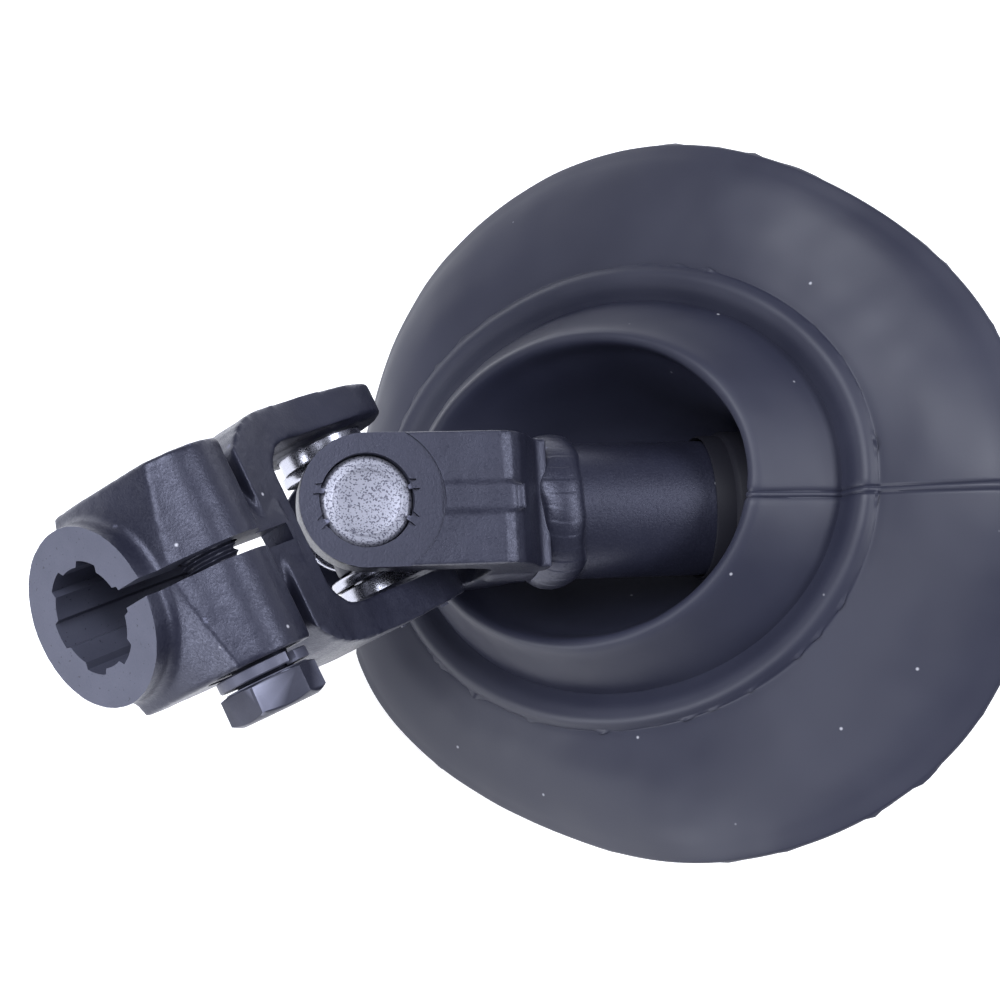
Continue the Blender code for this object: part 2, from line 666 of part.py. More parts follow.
def slip_shaft(parent):
    end = JOINT_TO_JOINT - UPPER_SHANK_END + UPPER_SOCKET_DEPTH - FIT_GAP
    length = end - SLIP_INNER_END
    outline = toothed(SLIP_TIP_RADIUS, SLIP_ROOT_RADIUS, SLIP_TEETH)
    middle = SLIP_INNER_END + length / 2
    return extruded("slip_shaft", [outline], length / 2, parent, "steel", middle, "X")


def slip_bushing(parent):
    """The toothed nylon liner fixed inside the tube's open end."""
    outer = TUBE_BORE - SLIDING_GAP
    ring = [polar(outer, 2 * math.pi * i / 32) for i in range(32)]
    grown = SLIDING_GAP
    hole = toothed(SLIP_TIP_RADIUS + grown, SLIP_ROOT_RADIUS + grown, SLIP_TEETH, 0.14)
    middle = TUBE_END - BUSHING_INSET - BUSHING_LENGTH / 2
    return extruded("slip_bushing", [ring, hole], BUSHING_LENGTH / 2, parent, "nylon", middle, "X")


def tube_end_seal(parent):
    """A rubber cap on the tube's end that wipes the sliding shaft."""
    lip = TUBE_RADIUS + FIT_GAP
    out = lip + END_SEAL_WALL
    face = TUBE_END + FIT_GAP
    wiper = SLIP_TIP_RADIUS + FIT_GAP
    profile = [
        (wiper, face + END_SEAL_FACE),
        (out - END_SEAL_CHAMFER, face + END_SEAL_FACE),
        (out, face + END_SEAL_FACE - END_SEAL_CHAMFER),
        (out, face - END_SEAL_LIP),
        (lip, face - END_SEAL_LIP),
        (lip, face),
        (wiper, face),
    ]
    return turned("tube_end_seal", profile, parent, "seal", 24, True, "X")


def upper_yoke_with_socket(parent):
    """The upper tube yoke, bored for the end of the sliding shaft."""
    yoke = tube_yoke("upper_tube_yoke", parent, UPPER_SHANK_RADIUS, UPPER_SHANK_END)
    socket = rod("upper_tube_yoke_socket", SLIP_TIP_RADIUS + FIT_GAP,
                 UPPER_SHANK_END - UPPER_SOCKET_DEPTH, UPPER_SHANK_END + OVERLAP, parent)
    return boolean(yoke, socket)


def boot_bush(parent):
    """The sleeve on the tube that the boot turns on."""
    inner = TUBE_RADIUS + FIT_GAP
    profile = [
        (BUSH_LIP_RADIUS, BUSH_END + BUSH_LIP_THICKNESS),
        (BUSH_LIP_RADIUS, BUSH_END),
        (BUSH_RADIUS, BUSH_END),
        (BUSH_RADIUS, BUSH_START + BUSH_NOSE_LENGTH),
        (BUSH_NOSE_RADIUS, BUSH_START + BUSH_NOSE_LENGTH - BUSH_NOSE_STEP),
        (BUSH_NOSE_RADIUS, BUSH_START),
        (inner, BUSH_START),
        (inner, BUSH_END + BUSH_LIP_THICKNESS),
    ]
    return turned("boot_bush", profile, parent, "bush", 24, True, "X")


def mix(first, second, share):
    return first + (second - first) * share


class Section:
    """One cross-section of the boot: an oval in a leaning plane, round its own centre."""

    def __init__(self, centre, tilt, half_length, half_width, edge=0.0):
        self.centre = Vector(centre)
        self.tilt = tilt
        self.half_length = half_length
        self.half_width = half_width
        # How much of the flange edge's waves and bench flat this section carries, from 0 to 1
        self.edge = edge

    def up(self):
        return Vector((math.cos(self.tilt), 0, math.sin(self.tilt)))

    def normal(self):
        return Vector((-math.sin(self.tilt), 0, math.cos(self.tilt)))

    def moved(self, along_normal=0.0, along_tilt=0.0, side=0.0, grow_length=0.0, grow_width=0.0, edge=0.0):
        centre = self.centre + self.normal() * along_normal + self.up() * along_tilt + Vector((0, side, 0))
        return Section(
            centre, self.tilt, self.half_length + grow_length, self.half_width + grow_width, edge
        )

    def towards(self, other, share, tilt_share=None, width_share=None, rise=0.0):
        made = Section(
            self.centre.lerp(other.centre, share),
            mix(self.tilt, other.tilt, share if tilt_share is None else tilt_share),
            mix(self.half_length, other.half_length, share),
            mix(self.half_width, other.half_width, share if width_share is None else width_share),
            mix(self.edge, other.edge, share),
        )
        made.centre += made.normal() * rise
        return made

    def point(self, turn):
        """The section's point at this turn, which is 0 at its highest point."""
        out_of_round = sum(s * math.sin(n * turn + math.radians(a)) for n, s, a in EDGE_LOBES)
        wave = sum(s * math.sin(n * turn + math.radians(a)) for n, s, a in EDGE_WAVES)
        reach = math.cos(turn)
        if self.edge:
            flat = 1 - self.edge * (1 - math.cos(RIM_FLAT_ANGLE))
            reach = max(reach, -flat)
        length = self.half_length + self.edge * out_of_round
        width = self.half_width + self.edge * out_of_round
        found = self.centre + self.up() * (length * reach) + self.normal() * (self.edge * wave)
        found.y += width * math.sin(turn)
        return found


def boot_sections():
    """Sections of the boot, from the flange's edge to the collar."""
    centre = (BOOT_ALONG, BOOT_SIDE_SHIFT, -BOOT_DROP)
    foot = Section(centre, BOOT_TILT, BEAD_HALF_LENGTH, BEAD_HALF_WIDTH)
    edge = foot.moved(
        -FLANGE_DEPTH,
        FLANGE_SLIDE,
        FLANGE_SIDE_SHIFT - BOOT_SIDE_SHIFT,
        FLANGE_HALF_LENGTH - BEAD_HALF_LENGTH,
        FLANGE_HALF_WIDTH - BEAD_HALF_WIDTH,
        1.0,
    )
    flange = [edge]
    for share, dish in ((0.28, 0.8), (0.58, 1.0), (0.86, 0.5)):
        flange.append(edge.towards(foot, share, rise=dish * FLANGE_DISH))
    groove_inset = -(BEAD_ROLL + GROOVE_WIDTH)
    bead = [
        foot.moved(BEAD_HEIGHT),
        foot.moved(BEAD_HEIGHT, 0, 0, -BEAD_ROLL, -BEAD_ROLL),
    ]
    groove = foot.moved(0, 0, 0, groove_inset, groove_inset)
    rim = groove.moved(
        NECK_HEIGHT,
        -NECK_SLIDE,
        0,
        RIM_HALF_LENGTH - groove.half_length,
        RIM_HALF_WIDTH - groove.half_width,
    )
    neck = [groove, groove.towards(rim, 0.36), groove.towards(rim, 0.72), rim]
    collar = Section((COLLAR_START, 0, 0), math.pi / 2, COLLAR_RADIUS, COLLAR_RADIUS)
    bowl = []
    for share in (0.12, 0.4, 0.75):
        section = rim.towards(collar, share, share ** BOWL_TURNING, share ** BOWL_ROUNDING)
        section.centre.z -= 4 * share * (1 - share) * BOWL_SAG
        bowl.append(section)
    mouth = Section(
        (COLLAR_START - COLLAR_LEAN, 0, 0), math.pi / 2, COLLAR_RADIUS + FIT_GAP, COLLAR_RADIUS + FIT_GAP
    )
    end = Section((COLLAR_END, 0, 0), math.pi / 2, COLLAR_RADIUS, COLLAR_RADIUS)
    return flange + bead + neck + bowl + [mouth, collar, end]


def firewall_boot(parent):
    """The moulded boot: flange, bead, neck, rim, inner bowl and the collar on the bush."""
    shape = bmesh.new()
    rings = []
    turns = [2 * math.pi * i / BOOT_SEGMENTS for i in range(BOOT_SEGMENTS)]
    for section in boot_sections():
        rings.append([shape.verts.new(section.point(turn)) for turn in turns])
    for first, second in zip(rings, rings[1:]):
        for i in range(BOOT_SEGMENTS):
            j = (i + 1) % BOOT_SEGMENTS
            shape.faces.new((first[i], first[j], second[j], second[i]))
    mesh = bpy.data.meshes.new("firewall_boot")
    shape.to_mesh(mesh)
    shape.free()
    boot = place("firewall_boot", mesh, parent, "rubber")
    wall = boot.modifiers.new("wall", "SOLIDIFY")
    wall.thickness = BOOT_WALL
    wall.offset = 0
    return boot


def lower_joint(shaft):
    swing = empty("lower_swing_axis", shaft, Matrix.Rotation(SWING_AT_REST, 4, "Z"))
    cross("lower_cross", swing)
    facing = axes((-1, 0, 0), (0, 0, 1), (0, 1, 0))
    clamp = empty("lower_bend_axis", swing, Matrix.Rotation(BEND_AT_REST, 4, "Y") @ facing)
    clamp_yoke("lower_clamp_yoke", clamp)
    clamp_bolt("lower_pinch_bolt", clamp)
    lock_washer("lower_lock_washer", clamp)
    cup_assembly("lower_clamp", clamp)


def upper_joint(shaft):
    centre = Matrix.Translation((JOINT_TO_JOINT, 0, 0))
    yoke_axes = empty("upper_yoke_axes", shaft, centre @ Matrix.Rotation(math.pi, 4, "Z"))
    upper_yoke_with_socket(yoke_axes)
    weld_bead("upper_weld", yoke_axes, SLIP_TIP_RADIUS + FIT_GAP, UPPER_SHANK_END + 0.6 * WELD_WIDTH)
    cup_assembly("upper_tube", yoke_axes)
    swing = empty("upper_swing_axis", shaft, centre)
    cross("upper_cross", swing)
    clamp = empty("upper_bend_axis", swing, axes((1, 0, 0), (0, 0, 1), (0, -1, 0)))
    clamp_yoke("upper_clamp_yoke", clamp)
    clamp_bolt("upper_pinch_bolt", clamp)
    lock_washer("upper_lock_washer", clamp)
    cup_assembly("upper_clamp", clamp)


def world_points():
    """Every evaluated vertex of every sub-part, by name."""
    bpy.context.view_layer.update()
    graph = bpy.context.evaluated_depsgraph_get()
    found = {}
    for piece in PARTS.objects:
        if piece.type != "MESH":
            continue
        evaluated = piece.evaluated_get(graph)
        mesh = evaluated.to_mesh()
        points = np.empty(len(mesh.vertices) * 3, np.float32)
        mesh.vertices.foreach_get("co", points)
        evaluated.to_mesh_clear()
        turn = np.array(piece.matrix_world)
        found[piece.name] = points.reshape(-1, 3).astype(float) @ turn[:3, :3].T + turn[:3, 3]
    return found


def lay_down(shaft):
    """Tips the shaft until the boot's rim and the upper end touch the same floor, and stands it there."""
    points = world_points()
    boot = points["firewall_boot"]
    upper = np.concatenate([p for name, p in points.items() if name.startswith("upper_")])

    def lowest(cloud, slope):
        return (cloud[:, 2] * math.cos(slope) - cloud[:, 0] * math.sin(slope)).min()

    low, high = 0.0, math.radians(30)
    for _ in range(40):
        slope = (low + high) / 2
        if lowest(upper, slope) > lowest(boot, slope):
            low = slope
        else:
            high = slope
    turn = Matrix.Rotation(slope, 4, "Y")
    every = np.concatenate(list(points.values())) @ np.array(turn.to_3x3()).T
    least, most = every.min(axis=0), every.max(axis=0)
    middle = (least + most) / 2
    shaft.matrix_local = Matrix.Translation((-middle[0], -middle[1], -least[2])) @ turn


SHAFT = empty("shaft_axis", None, Matrix())
outer_tube(SHAFT)
lower_yoke_with_spigot(SHAFT)
weld_bead("lower_weld", SHAFT, TUBE_RADIUS, SHANK_END + 0.25 * WELD_WIDTH)
cup_assembly("lower_tube", SHAFT)
slip_shaft(SHAFT)
slip_bushing(SHAFT)
tube_end_seal(SHAFT)
boot_bush(SHAFT)
firewall_boot(SHAFT)
lower_joint(SHAFT)
upper_joint(SHAFT)
lay_down(SHAFT)
bpy.context.view_layer.update()
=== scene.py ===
"""Looks of the intermediate steering shaft: painted forgings, bright bearing cups and a rubber boot.

Every piece is built in the axes of the shaft or of one clamp, with its sizes in millimetres, and rides
on the body that carries it.
"""

import json
import math

import bmesh
import bpy
from mathutils import Matrix, Vector, noise

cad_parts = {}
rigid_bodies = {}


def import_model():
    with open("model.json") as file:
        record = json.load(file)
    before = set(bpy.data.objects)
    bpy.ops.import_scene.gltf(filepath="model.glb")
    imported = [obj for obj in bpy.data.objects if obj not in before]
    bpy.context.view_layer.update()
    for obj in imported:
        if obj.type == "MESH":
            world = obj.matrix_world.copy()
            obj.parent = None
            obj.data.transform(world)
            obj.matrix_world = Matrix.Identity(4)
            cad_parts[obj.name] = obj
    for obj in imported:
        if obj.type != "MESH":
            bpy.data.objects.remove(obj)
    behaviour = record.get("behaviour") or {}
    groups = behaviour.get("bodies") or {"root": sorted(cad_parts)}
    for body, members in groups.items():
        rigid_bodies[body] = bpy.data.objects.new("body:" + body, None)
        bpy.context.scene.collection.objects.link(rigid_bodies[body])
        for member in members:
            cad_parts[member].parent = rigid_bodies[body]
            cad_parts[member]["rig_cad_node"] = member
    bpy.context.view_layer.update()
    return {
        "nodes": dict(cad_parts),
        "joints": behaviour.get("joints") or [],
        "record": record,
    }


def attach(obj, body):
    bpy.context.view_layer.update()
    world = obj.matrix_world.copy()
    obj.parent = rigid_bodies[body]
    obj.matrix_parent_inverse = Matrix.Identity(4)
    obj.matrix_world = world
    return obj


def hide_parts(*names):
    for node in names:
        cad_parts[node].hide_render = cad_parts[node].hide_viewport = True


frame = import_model()

MM = 0.001


def clear_startup():
    for name in ("Cube", "Light", "Camera"):
        found = bpy.data.objects.get(name)
        if found is not None and "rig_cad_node" not in found:
            bpy.data.objects.remove(found, do_unlink=True)


clear_startup()

# Axes of the shaft, its two clamps and its upper yoke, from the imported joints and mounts
JOINTS = {joint["name"]: joint for joint in frame["joints"]}
MOUNTS = {mount["name"]: mount for mount in frame["record"]["mounts"]}
LOWER_CENTRE = Vector(JOINTS["lower_swing"]["pos_m"])
UPPER_CENTRE = Vector(JOINTS["upper_swing"]["pos_m"])


def axes_at(centre, x, z):
    """A frame with this X and Z direction at a point."""
    x = Vector(x).normalized()
    y = Vector(z).cross(x).normalized()
    turn = Matrix((x, y, x.cross(y))).transposed().to_4x4()
    return Matrix.Translation(centre) @ turn


ALONG = UPPER_CENTRE - LOWER_CENTRE
SHAFT = axes_at(LOWER_CENTRE, ALONG, JOINTS["lower_swing"]["axis"])
UPPER_YOKE = axes_at(UPPER_CENTRE, -ALONG, JOINTS["lower_swing"]["axis"])
LOWER_CLAMP = axes_at(LOWER_CENTRE, MOUNTS["lower_clamp_face"]["axis"], JOINTS["lower_bend"]["axis"])
UPPER_PIN = -Vector(JOINTS["upper_bend"]["axis"])
UPPER_CLAMP = axes_at(UPPER_CENTRE, MOUNTS["upper_clamp_face"]["axis"], UPPER_PIN)

# Sizes in millimetres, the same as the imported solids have
TUBE_RADIUS = 12.35
TUBE_END = 190.0
TUBE_START = 36.3
EAR_OUTER = 21.5
EAR_INNER = 13.5
TUBE_EAR = 11.6
CLAMP_EAR = 12.6
CUP_RADIUS = 7.9
CUP_MOUTH = 11.5
CUP_TOP = 20.4
BORE_RADIUS = 8.1
SPOT_FACE = 13.4
CLAMP_FACE = 61.3
COLLAR_RADIUS = 14.9
HUB_RADIUS = 15.6
LUG_HALF = 17.6
SAW_END = 33.5
SAW_HALF = 1.5
BOLT_X = 46.0
BOLT_Y = 13.9
BOSS_RADIUS = 9.0
BOLT_RADIUS = 4.7
ACROSS_FLATS = 14.3
WASHER = 2.1
GAP = 0.3

# Camera, in the shaft's axes: its place, its line of sight and its upward direction
CAMERA_AT = Vector((-44.9, -50.4, 361.0)) * MM
CAMERA_SIGHT = Vector((0.1935, 0.1422, -0.9707))
CAMERA_UP = Vector((0.0264, 0.9883, 0.1501))
CAMERA_LENS = 73.65


# Modelling


def linked(name, mesh):
    made = bpy.data.objects.new(name, mesh)
    bpy.context.scene.collection.objects.link(made)
    return made


def as_object(name, shape):
    """Turns a bmesh in millimetres into an object in metres, its faces turned outwards."""
    bmesh.ops.recalc_face_normals(shape, faces=shape.faces)
    bmesh.ops.scale(shape, vec=(MM, MM, MM), verts=shape.verts)
    mesh = bpy.data.meshes.new(name)
    shape.to_mesh(mesh)
    shape.free()
    return linked(name, mesh)


def settle(thing):
    """Turns an object's modifiers into plain mesh."""
    bpy.context.view_layer.update()
    graph = bpy.context.evaluated_depsgraph_get()
    mesh = bpy.data.meshes.new_from_object(thing.evaluated_get(graph))
    thing.modifiers.clear()
    old = thing.data
    thing.data = mesh
    bpy.data.meshes.remove(old)
    return thing


def turn_to(shape, direction):
    """Lays a shape that was made along Z along another axis."""
    turns = {
        "X": Matrix(((0, 0, 1), (0, 1, 0), (-1, 0, 0))),
        "-Z": Matrix(((1, 0, 0), (0, -1, 0), (0, 0, -1))),
        "Z": Matrix.Identity(3),
    }
    bmesh.ops.transform(shape, verts=shape.verts, matrix=turns[direction].to_4x4())


def skin_rings(shape, rings, closed):
    """Joins rings of vertices with faces. A ring of one vertex closes the shape to a point."""
    pairs = list(zip(rings, rings[1:]))
    if closed:
        pairs.append((rings[-1], rings[0]))
    for first, second in pairs:
        count = max(len(first), len(second))
        for i in range(count):
            j = (i + 1) % count
            near = [first[i % len(first)], first[j % len(first)]]
            far = [second[j % len(second)], second[i % len(second)]]
            corners = list(dict.fromkeys(near + far))
            if len(corners) > 2:
                shape.faces.new(corners)


def ring_round_z(shape, radius, height, sides):
    """A ring of vertices, or a single one on the axis."""
    if radius < 1e-6:
        return [shape.verts.new((0, 0, height))]
    turns = [2 * math.pi * i / sides for i in range(sides)]
    return [shape.verts.new((radius * math.cos(a), radius * math.sin(a), height)) for a in turns]


def lathe(name, profile, direction="Z", sides=64, closed=True, at=(0, 0, 0)):
    """A turned piece from (radius, height) pairs. An open profile starts and ends on the axis."""
    shape = bmesh.new()
    rings = [ring_round_z(shape, radius, height, sides) for radius, height in profile]
    skin_rings(shape, rings, closed)
    turn_to(shape, direction)
    bmesh.ops.translate(shape, verts=shape.verts, vec=at)
    return as_object(name, shape)


def rod(name, radius, start, end, direction="Z", sides=64, at=(0, 0, 0)):
    profile = [(0, start), (radius, start), (radius, end), (0, end)]
    return lathe(name, profile, direction, sides, False, at)


def plate(name, outline, half, direction="Z", middle=0.0):
    """A flat outline with thickness. Y lays the outline in the X-Z plane, and X in the Y-Z plane."""
    shape = bmesh.new()
    low = [shape.verts.new((x, y, middle - half)) for x, y in outline]
    high = [shape.verts.new((x, y, middle + half)) for x, y in outline]
    skin_rings(shape, [low, high], False)
    shape.faces.new(low)
    shape.faces.new(list(reversed(high)))
    lay = {
        "X": Matrix(((0, 0, 1), (1, 0, 0), (0, 1, 0))),
        "Y": Matrix(((1, 0, 0), (0, 0, -1), (0, 1, 0))),
    }
    if direction in lay:
        bmesh.ops.transform(shape, verts=shape.verts, matrix=lay[direction].to_4x4())
    return as_object(name, shape)


def arc(centre, radius, start, end, steps):
    turns = [math.radians(start + (end - start) * i / steps) for i in range(steps + 1)]
    return [(centre[0] + radius * math.cos(a), centre[1] + radius * math.sin(a)) for a in turns]


def mirrored(outline):
    return outline + [(x, -y) for x, y in reversed(outline) if y > 1e-9]


def combine(host, tools, operation="DIFFERENCE", solver="EXACT"):
    """Cuts, joins or trims the host with each tool in turn, and removes the tools."""
    for tool in tools:
        step = host.modifiers.new(tool.name, "BOOLEAN")
        step.operation = operation
        step.solver = solver
        step.object = tool
    settle(host)
    for tool in tools:
        bpy.data.objects.remove(tool)
    return host


def merged(host, others):
    """Puts closed shapes that overlap into one mesh, for the remesh to join."""
    shape = bmesh.new()
    for thing in [host] + others:
        shape.from_mesh(thing.data)
    shape.to_mesh(host.data)
    shape.free()
    for thing in others:
        bpy.data.objects.remove(thing)
    return host


def forge(thing, voxel, rounds, grain):
    """Gives sharp solids the soft edges and uneven skin of a forging: broad swells and finer ones."""
    remesh = thing.modifiers.new("skin", "REMESH")
    remesh.mode = "VOXEL"
    remesh.voxel_size = voxel * MM
    soften = thing.modifiers.new("soften", "SMOOTH")
    soften.factor = 0.5
    soften.iterations = rounds
    settle(thing)
    moved = []
    for vertex in thing.data.vertices:
        place = vertex.co / MM
        swell = noise.noise(place * 0.22) + 0.45 * noise.noise(place * 0.75)
        moved.extend(vertex.co + vertex.normal * (swell * grain * MM))
    thing.data.vertices.foreach_set("co", moved)
    thing.data.update()
    return thing


def smooth(thing, angle=32):
    thing.data.shade_smooth()
    thing.data.set_sharp_from_angle(angle=math.radians(angle))
    return thing


def finish_by(thing, materials, rule):
    """Gives each face the material whose number the rule finds from the face's centre and normal."""
    thing.data.materials.clear()
    for material in materials:
        thing.data.materials.append(material)
    for face in thing.data.polygons:
        face.material_index = int(rule(face.center / MM, face.normal))
    return thing


def dress(thing, body, axes, materials, replaces=(), name=None):
    """Places a copy of a finished piece in its axes on its body."""
    made = linked(name or thing.name, thing.data)
    made.matrix_world = axes
    if materials:
        thing.data.materials.clear()
        for material in materials:
            thing.data.materials.append(material)
    if replaces:
        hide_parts(*replaces)
    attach(made, body)
    return made


def put_away(*things):
    for thing in things:
        bpy.data.objects.remove(thing)


# Shader building


def node(tree, kind, inputs=None, **settings):
    """Adds a node, sets its properties, and sets or links its inputs."""
    made = tree.nodes.new("ShaderNode" + kind)
    for key, value in settings.items():
        setattr(made, key, value)
    for key, value in (inputs or {}).items():
        if isinstance(value, bpy.types.NodeSocket):
            tree.links.new(value, made.inputs[key])
        else:
            made.inputs[key].default_value = value
    return made


def maths(tree, operation, first, second=0.0, clamp=False):
    made = node(tree, "Math", {0: first, 1: second}, operation=operation)
    made.use_clamp = clamp
    return made.outputs[0]


def ranged(tree, value, low, high, to_low=0.0, to_high=1.0):
    """Maps a value from one range to another, held at its ends."""
    made = node(tree, "MapRange", {0: value, 1: low, 2: high, 3: to_low, 4: to_high})
    return made.outputs[0]


def blended(tree, share, first, second):
    """One colour over another by a share. A colour mix has its own sockets, after those for numbers."""
    made = node(tree, "Mix", data_type="RGBA")
    for key, value in ((0, share), (6, first), (7, second)):
        if isinstance(value, bpy.types.NodeSocket):
            tree.links.new(value, made.inputs[key])
        else:
            made.inputs[key].default_value = value
    return made.outputs[2]


def group(name, inputs, outputs):
    """An empty node group with float and colour sockets."""
    tree = bpy.data.node_groups.new(name, "ShaderNodeTree")
    for label, kind, value in inputs:
        socket = tree.interface.new_socket(label, in_out="INPUT", socket_type="NodeSocket" + kind)
        if value is not None:
            socket.default_value = value
    for label, kind in outputs:
        tree.interface.new_socket(label, in_out="OUTPUT", socket_type="NodeSocket" + kind)
    enter = tree.nodes.new("NodeGroupInput")
    leave = tree.nodes.new("NodeGroupOutput")
    return tree, enter, leave


def skin_group():
    """Uneven skin: large patches, fine grain, dark specks and pale dust, from object coordinates."""
    tree, enter, leave = group(
        "uneven_skin",
        [
            ("Patch scale", "Float", 0.06),
            ("Grain scale", "Float", 2.2),
            ("Speck scale", "Float", 0.9),
            ("Speck share", "Float", 0.1),
            ("Dust share", "Float", 0.05),
        ],
        [("Patch", "Float"), ("Grain", "Float"), ("Specks", "Float"), ("Dust", "Float")],
    )
    place = node(tree, "TexCoord").outputs["Object"]

    def noise_at(scale_name, detail, rough):
        scale = maths(tree, "DIVIDE", enter.outputs[scale_name], MM)
        inputs = {"Vector": place, "Scale": scale, "Detail": detail, "Roughness": rough}
        return node(tree, "TexNoise", inputs).outputs["Fac"]

    tree.links.new(noise_at("Patch scale", 3.0, 0.55), leave.inputs["Patch"])
    tree.links.new(noise_at("Grain scale", 3.0, 0.6), leave.inputs["Grain"])
    specks = noise_at("Speck scale", 1.5, 0.5)
    edge = maths(tree, "SUBTRACT", 0.78, maths(tree, "MULTIPLY", enter.outputs["Speck share"], 0.5))
    dots = ranged(tree, maths(tree, "SUBTRACT", specks, edge), 0.0, 0.03)
    tree.links.new(dots, leave.inputs["Specks"])
    cells = node(tree, "TexVoronoi", {"Vector": place, "Scale": 0.42 / MM, "Randomness": 1.0})
    near = ranged(tree, cells.outputs["Distance"], 0.05, 0.16, 1.0, 0.0)
    lot = node(tree, "SeparateColor", {0: cells.outputs["Color"]}).outputs[0]
    chosen = maths(tree, "LESS_THAN", lot, enter.outputs["Dust share"])
    tree.links.new(maths(tree, "MULTIPLY", near, chosen), leave.inputs["Dust"])
    return tree


SKIN = skin_group()


def begin(name):
    """A new material with its Principled shader, and the shared skin group."""
    material = bpy.data.materials.new(name)
    material.use_nodes = True
    tree = material.node_tree
    skin = tree.nodes.new("ShaderNodeGroup")
    skin.node_tree = SKIN
    return material, tree, tree.nodes["Principled BSDF"], skin


def set_skin(skin, patch=0.06, grain=2.2, speck=0.9, share=0.1, dust=0.05):
    for label, value in (
        ("Patch scale", patch), ("Grain scale", grain), ("Speck scale", speck),
        ("Speck share", share), ("Dust share", dust),
    ):
        skin.inputs[label].default_value = value


def bump(tree, shader, height, strength, distance):
    made = node(tree, "Bump", {"Height": height, "Strength": strength, "Distance": distance * MM})
    tree.links.new(made.outputs["Normal"], shader.inputs["Normal"])


def painted_forging(name, wear):
    """Satin black paint over a cast-like skin, rubbed to grey metal on its edges."""
    material, tree, shader, skin = begin(name)
    set_skin(skin, patch=0.09, grain=2.4, speck=1.1, share=0.12, dust=0.03)
    dark = blended(tree, skin.outputs["Patch"], (0.0062, 0.0066, 0.0125, 1), (0.018, 0.0190, 0.0330, 1))
    edge = ranged(tree, node(tree, "NewGeometry").outputs["Pointiness"], 0.55, 0.64, 0.0, wear)
    rub = maths(tree, "MULTIPLY", edge, ranged(tree, skin.outputs["Grain"], 0.35, 0.6), True)
    worn = blended(tree, rub, dark, (0.15, 0.155, 0.21, 1))
    dusty = blended(tree, skin.outputs["Dust"], worn, (0.42, 0.42, 0.45, 1))
    tree.links.new(dusty, shader.inputs["Base Color"])
    rough = ranged(tree, skin.outputs["Grain"], 0.3, 0.7, 0.30, 0.50)
    tree.links.new(rough, shader.inputs["Roughness"])
    tree.links.new(maths(tree, "MULTIPLY", rub, 0.8), shader.inputs["Metallic"])
    shader.inputs["Specular IOR Level"].default_value = 0.65
    shader.inputs["Specular Tint"].default_value = (0.78, 0.80, 1.0, 1)
    bump(tree, shader, skin.outputs["Grain"], 0.42, 0.12)
    return material


def satin(name, dark, light, roughness, relief, metallic, specks=None, **scales):
    """A patchy metal, with or without dark specks, its roughness and fine relief from the grain."""
    material, tree, shader, skin = begin(name)
    set_skin(skin, **scales)
    colour = blended(tree, skin.outputs["Patch"], dark, light)
    if specks:
        colour = blended(tree, skin.outputs["Specks"], colour, specks)
    tree.links.new(colour, shader.inputs["Base Color"])
    shader.inputs["Metallic"].default_value = metallic
    tree.links.new(ranged(tree, skin.outputs["Grain"], 0.3, 0.7, *roughness), shader.inputs["Roughness"])
    bump(tree, shader, skin.outputs["Grain"], *relief)
    return material


def black_oxide():
    """The bolts' black finish, rubbed to grey on its edges."""
    material, tree, shader, skin = begin("black_oxide_steel")
    set_skin(skin, patch=0.2, grain=3.0, speck=1.6, share=0.2, dust=0.03)
    base = blended(tree, skin.outputs["Patch"], (0.016, 0.017, 0.029, 1), (0.040, 0.042, 0.066, 1))
    edge = ranged(tree, node(tree, "NewGeometry").outputs["Pointiness"], 0.54, 0.62)
    worn = blended(tree, edge, base, (0.16, 0.165, 0.22, 1))
    tree.links.new(worn, shader.inputs["Base Color"])
    shader.inputs["Metallic"].default_value = 0.35
    tree.links.new(ranged(tree, skin.outputs["Grain"], 0.3, 0.7, 0.36, 0.52), shader.inputs["Roughness"])
    bump(tree, shader, skin.outputs["Grain"], 0.25, 0.05)
    return material


def boot_rubber():
    """Matt moulded rubber with a faint bloom, handling marks and a little pale dust."""
    material, tree, shader, skin = begin("moulded_rubber")
    set_skin(skin, patch=0.03, grain=2.6, speck=0.5, share=0.1, dust=0.02)
    base = blended(tree, skin.outputs["Patch"], (0.012, 0.013, 0.026, 1), (0.026, 0.028, 0.048, 1))
    dusty = blended(tree, skin.outputs["Dust"], base, (0.40, 0.40, 0.43, 1))
    tree.links.new(dusty, shader.inputs["Base Color"])
    tree.links.new(ranged(tree, skin.outputs["Patch"], 0.3, 0.7, 0.42, 0.56), shader.inputs["Roughness"])
    shader.inputs["Specular IOR Level"].default_value = 0.5
    bump(tree, shader, skin.outputs["Grain"], 0.18, 0.05)
    return material


def moulded(name, dark, light, roughness, gloss, relief):
    """An even moulded plastic or rubber."""
    material, tree, shader, skin = begin(name)
    base = blended(tree, skin.outputs["Patch"], dark, light)
    tree.links.new(base, shader.inputs["Base Color"])
    shader.inputs["Roughness"].default_value = roughness
    shader.inputs["Specular IOR Level"].default_value = gloss
    bump(tree, shader, skin.outputs["Grain"], relief, 0.04)
    return material


PAINT = painted_forging("painted_forging", 1.0)
EVEN_PAINT = painted_forging("painted_spot_face", 0.0)
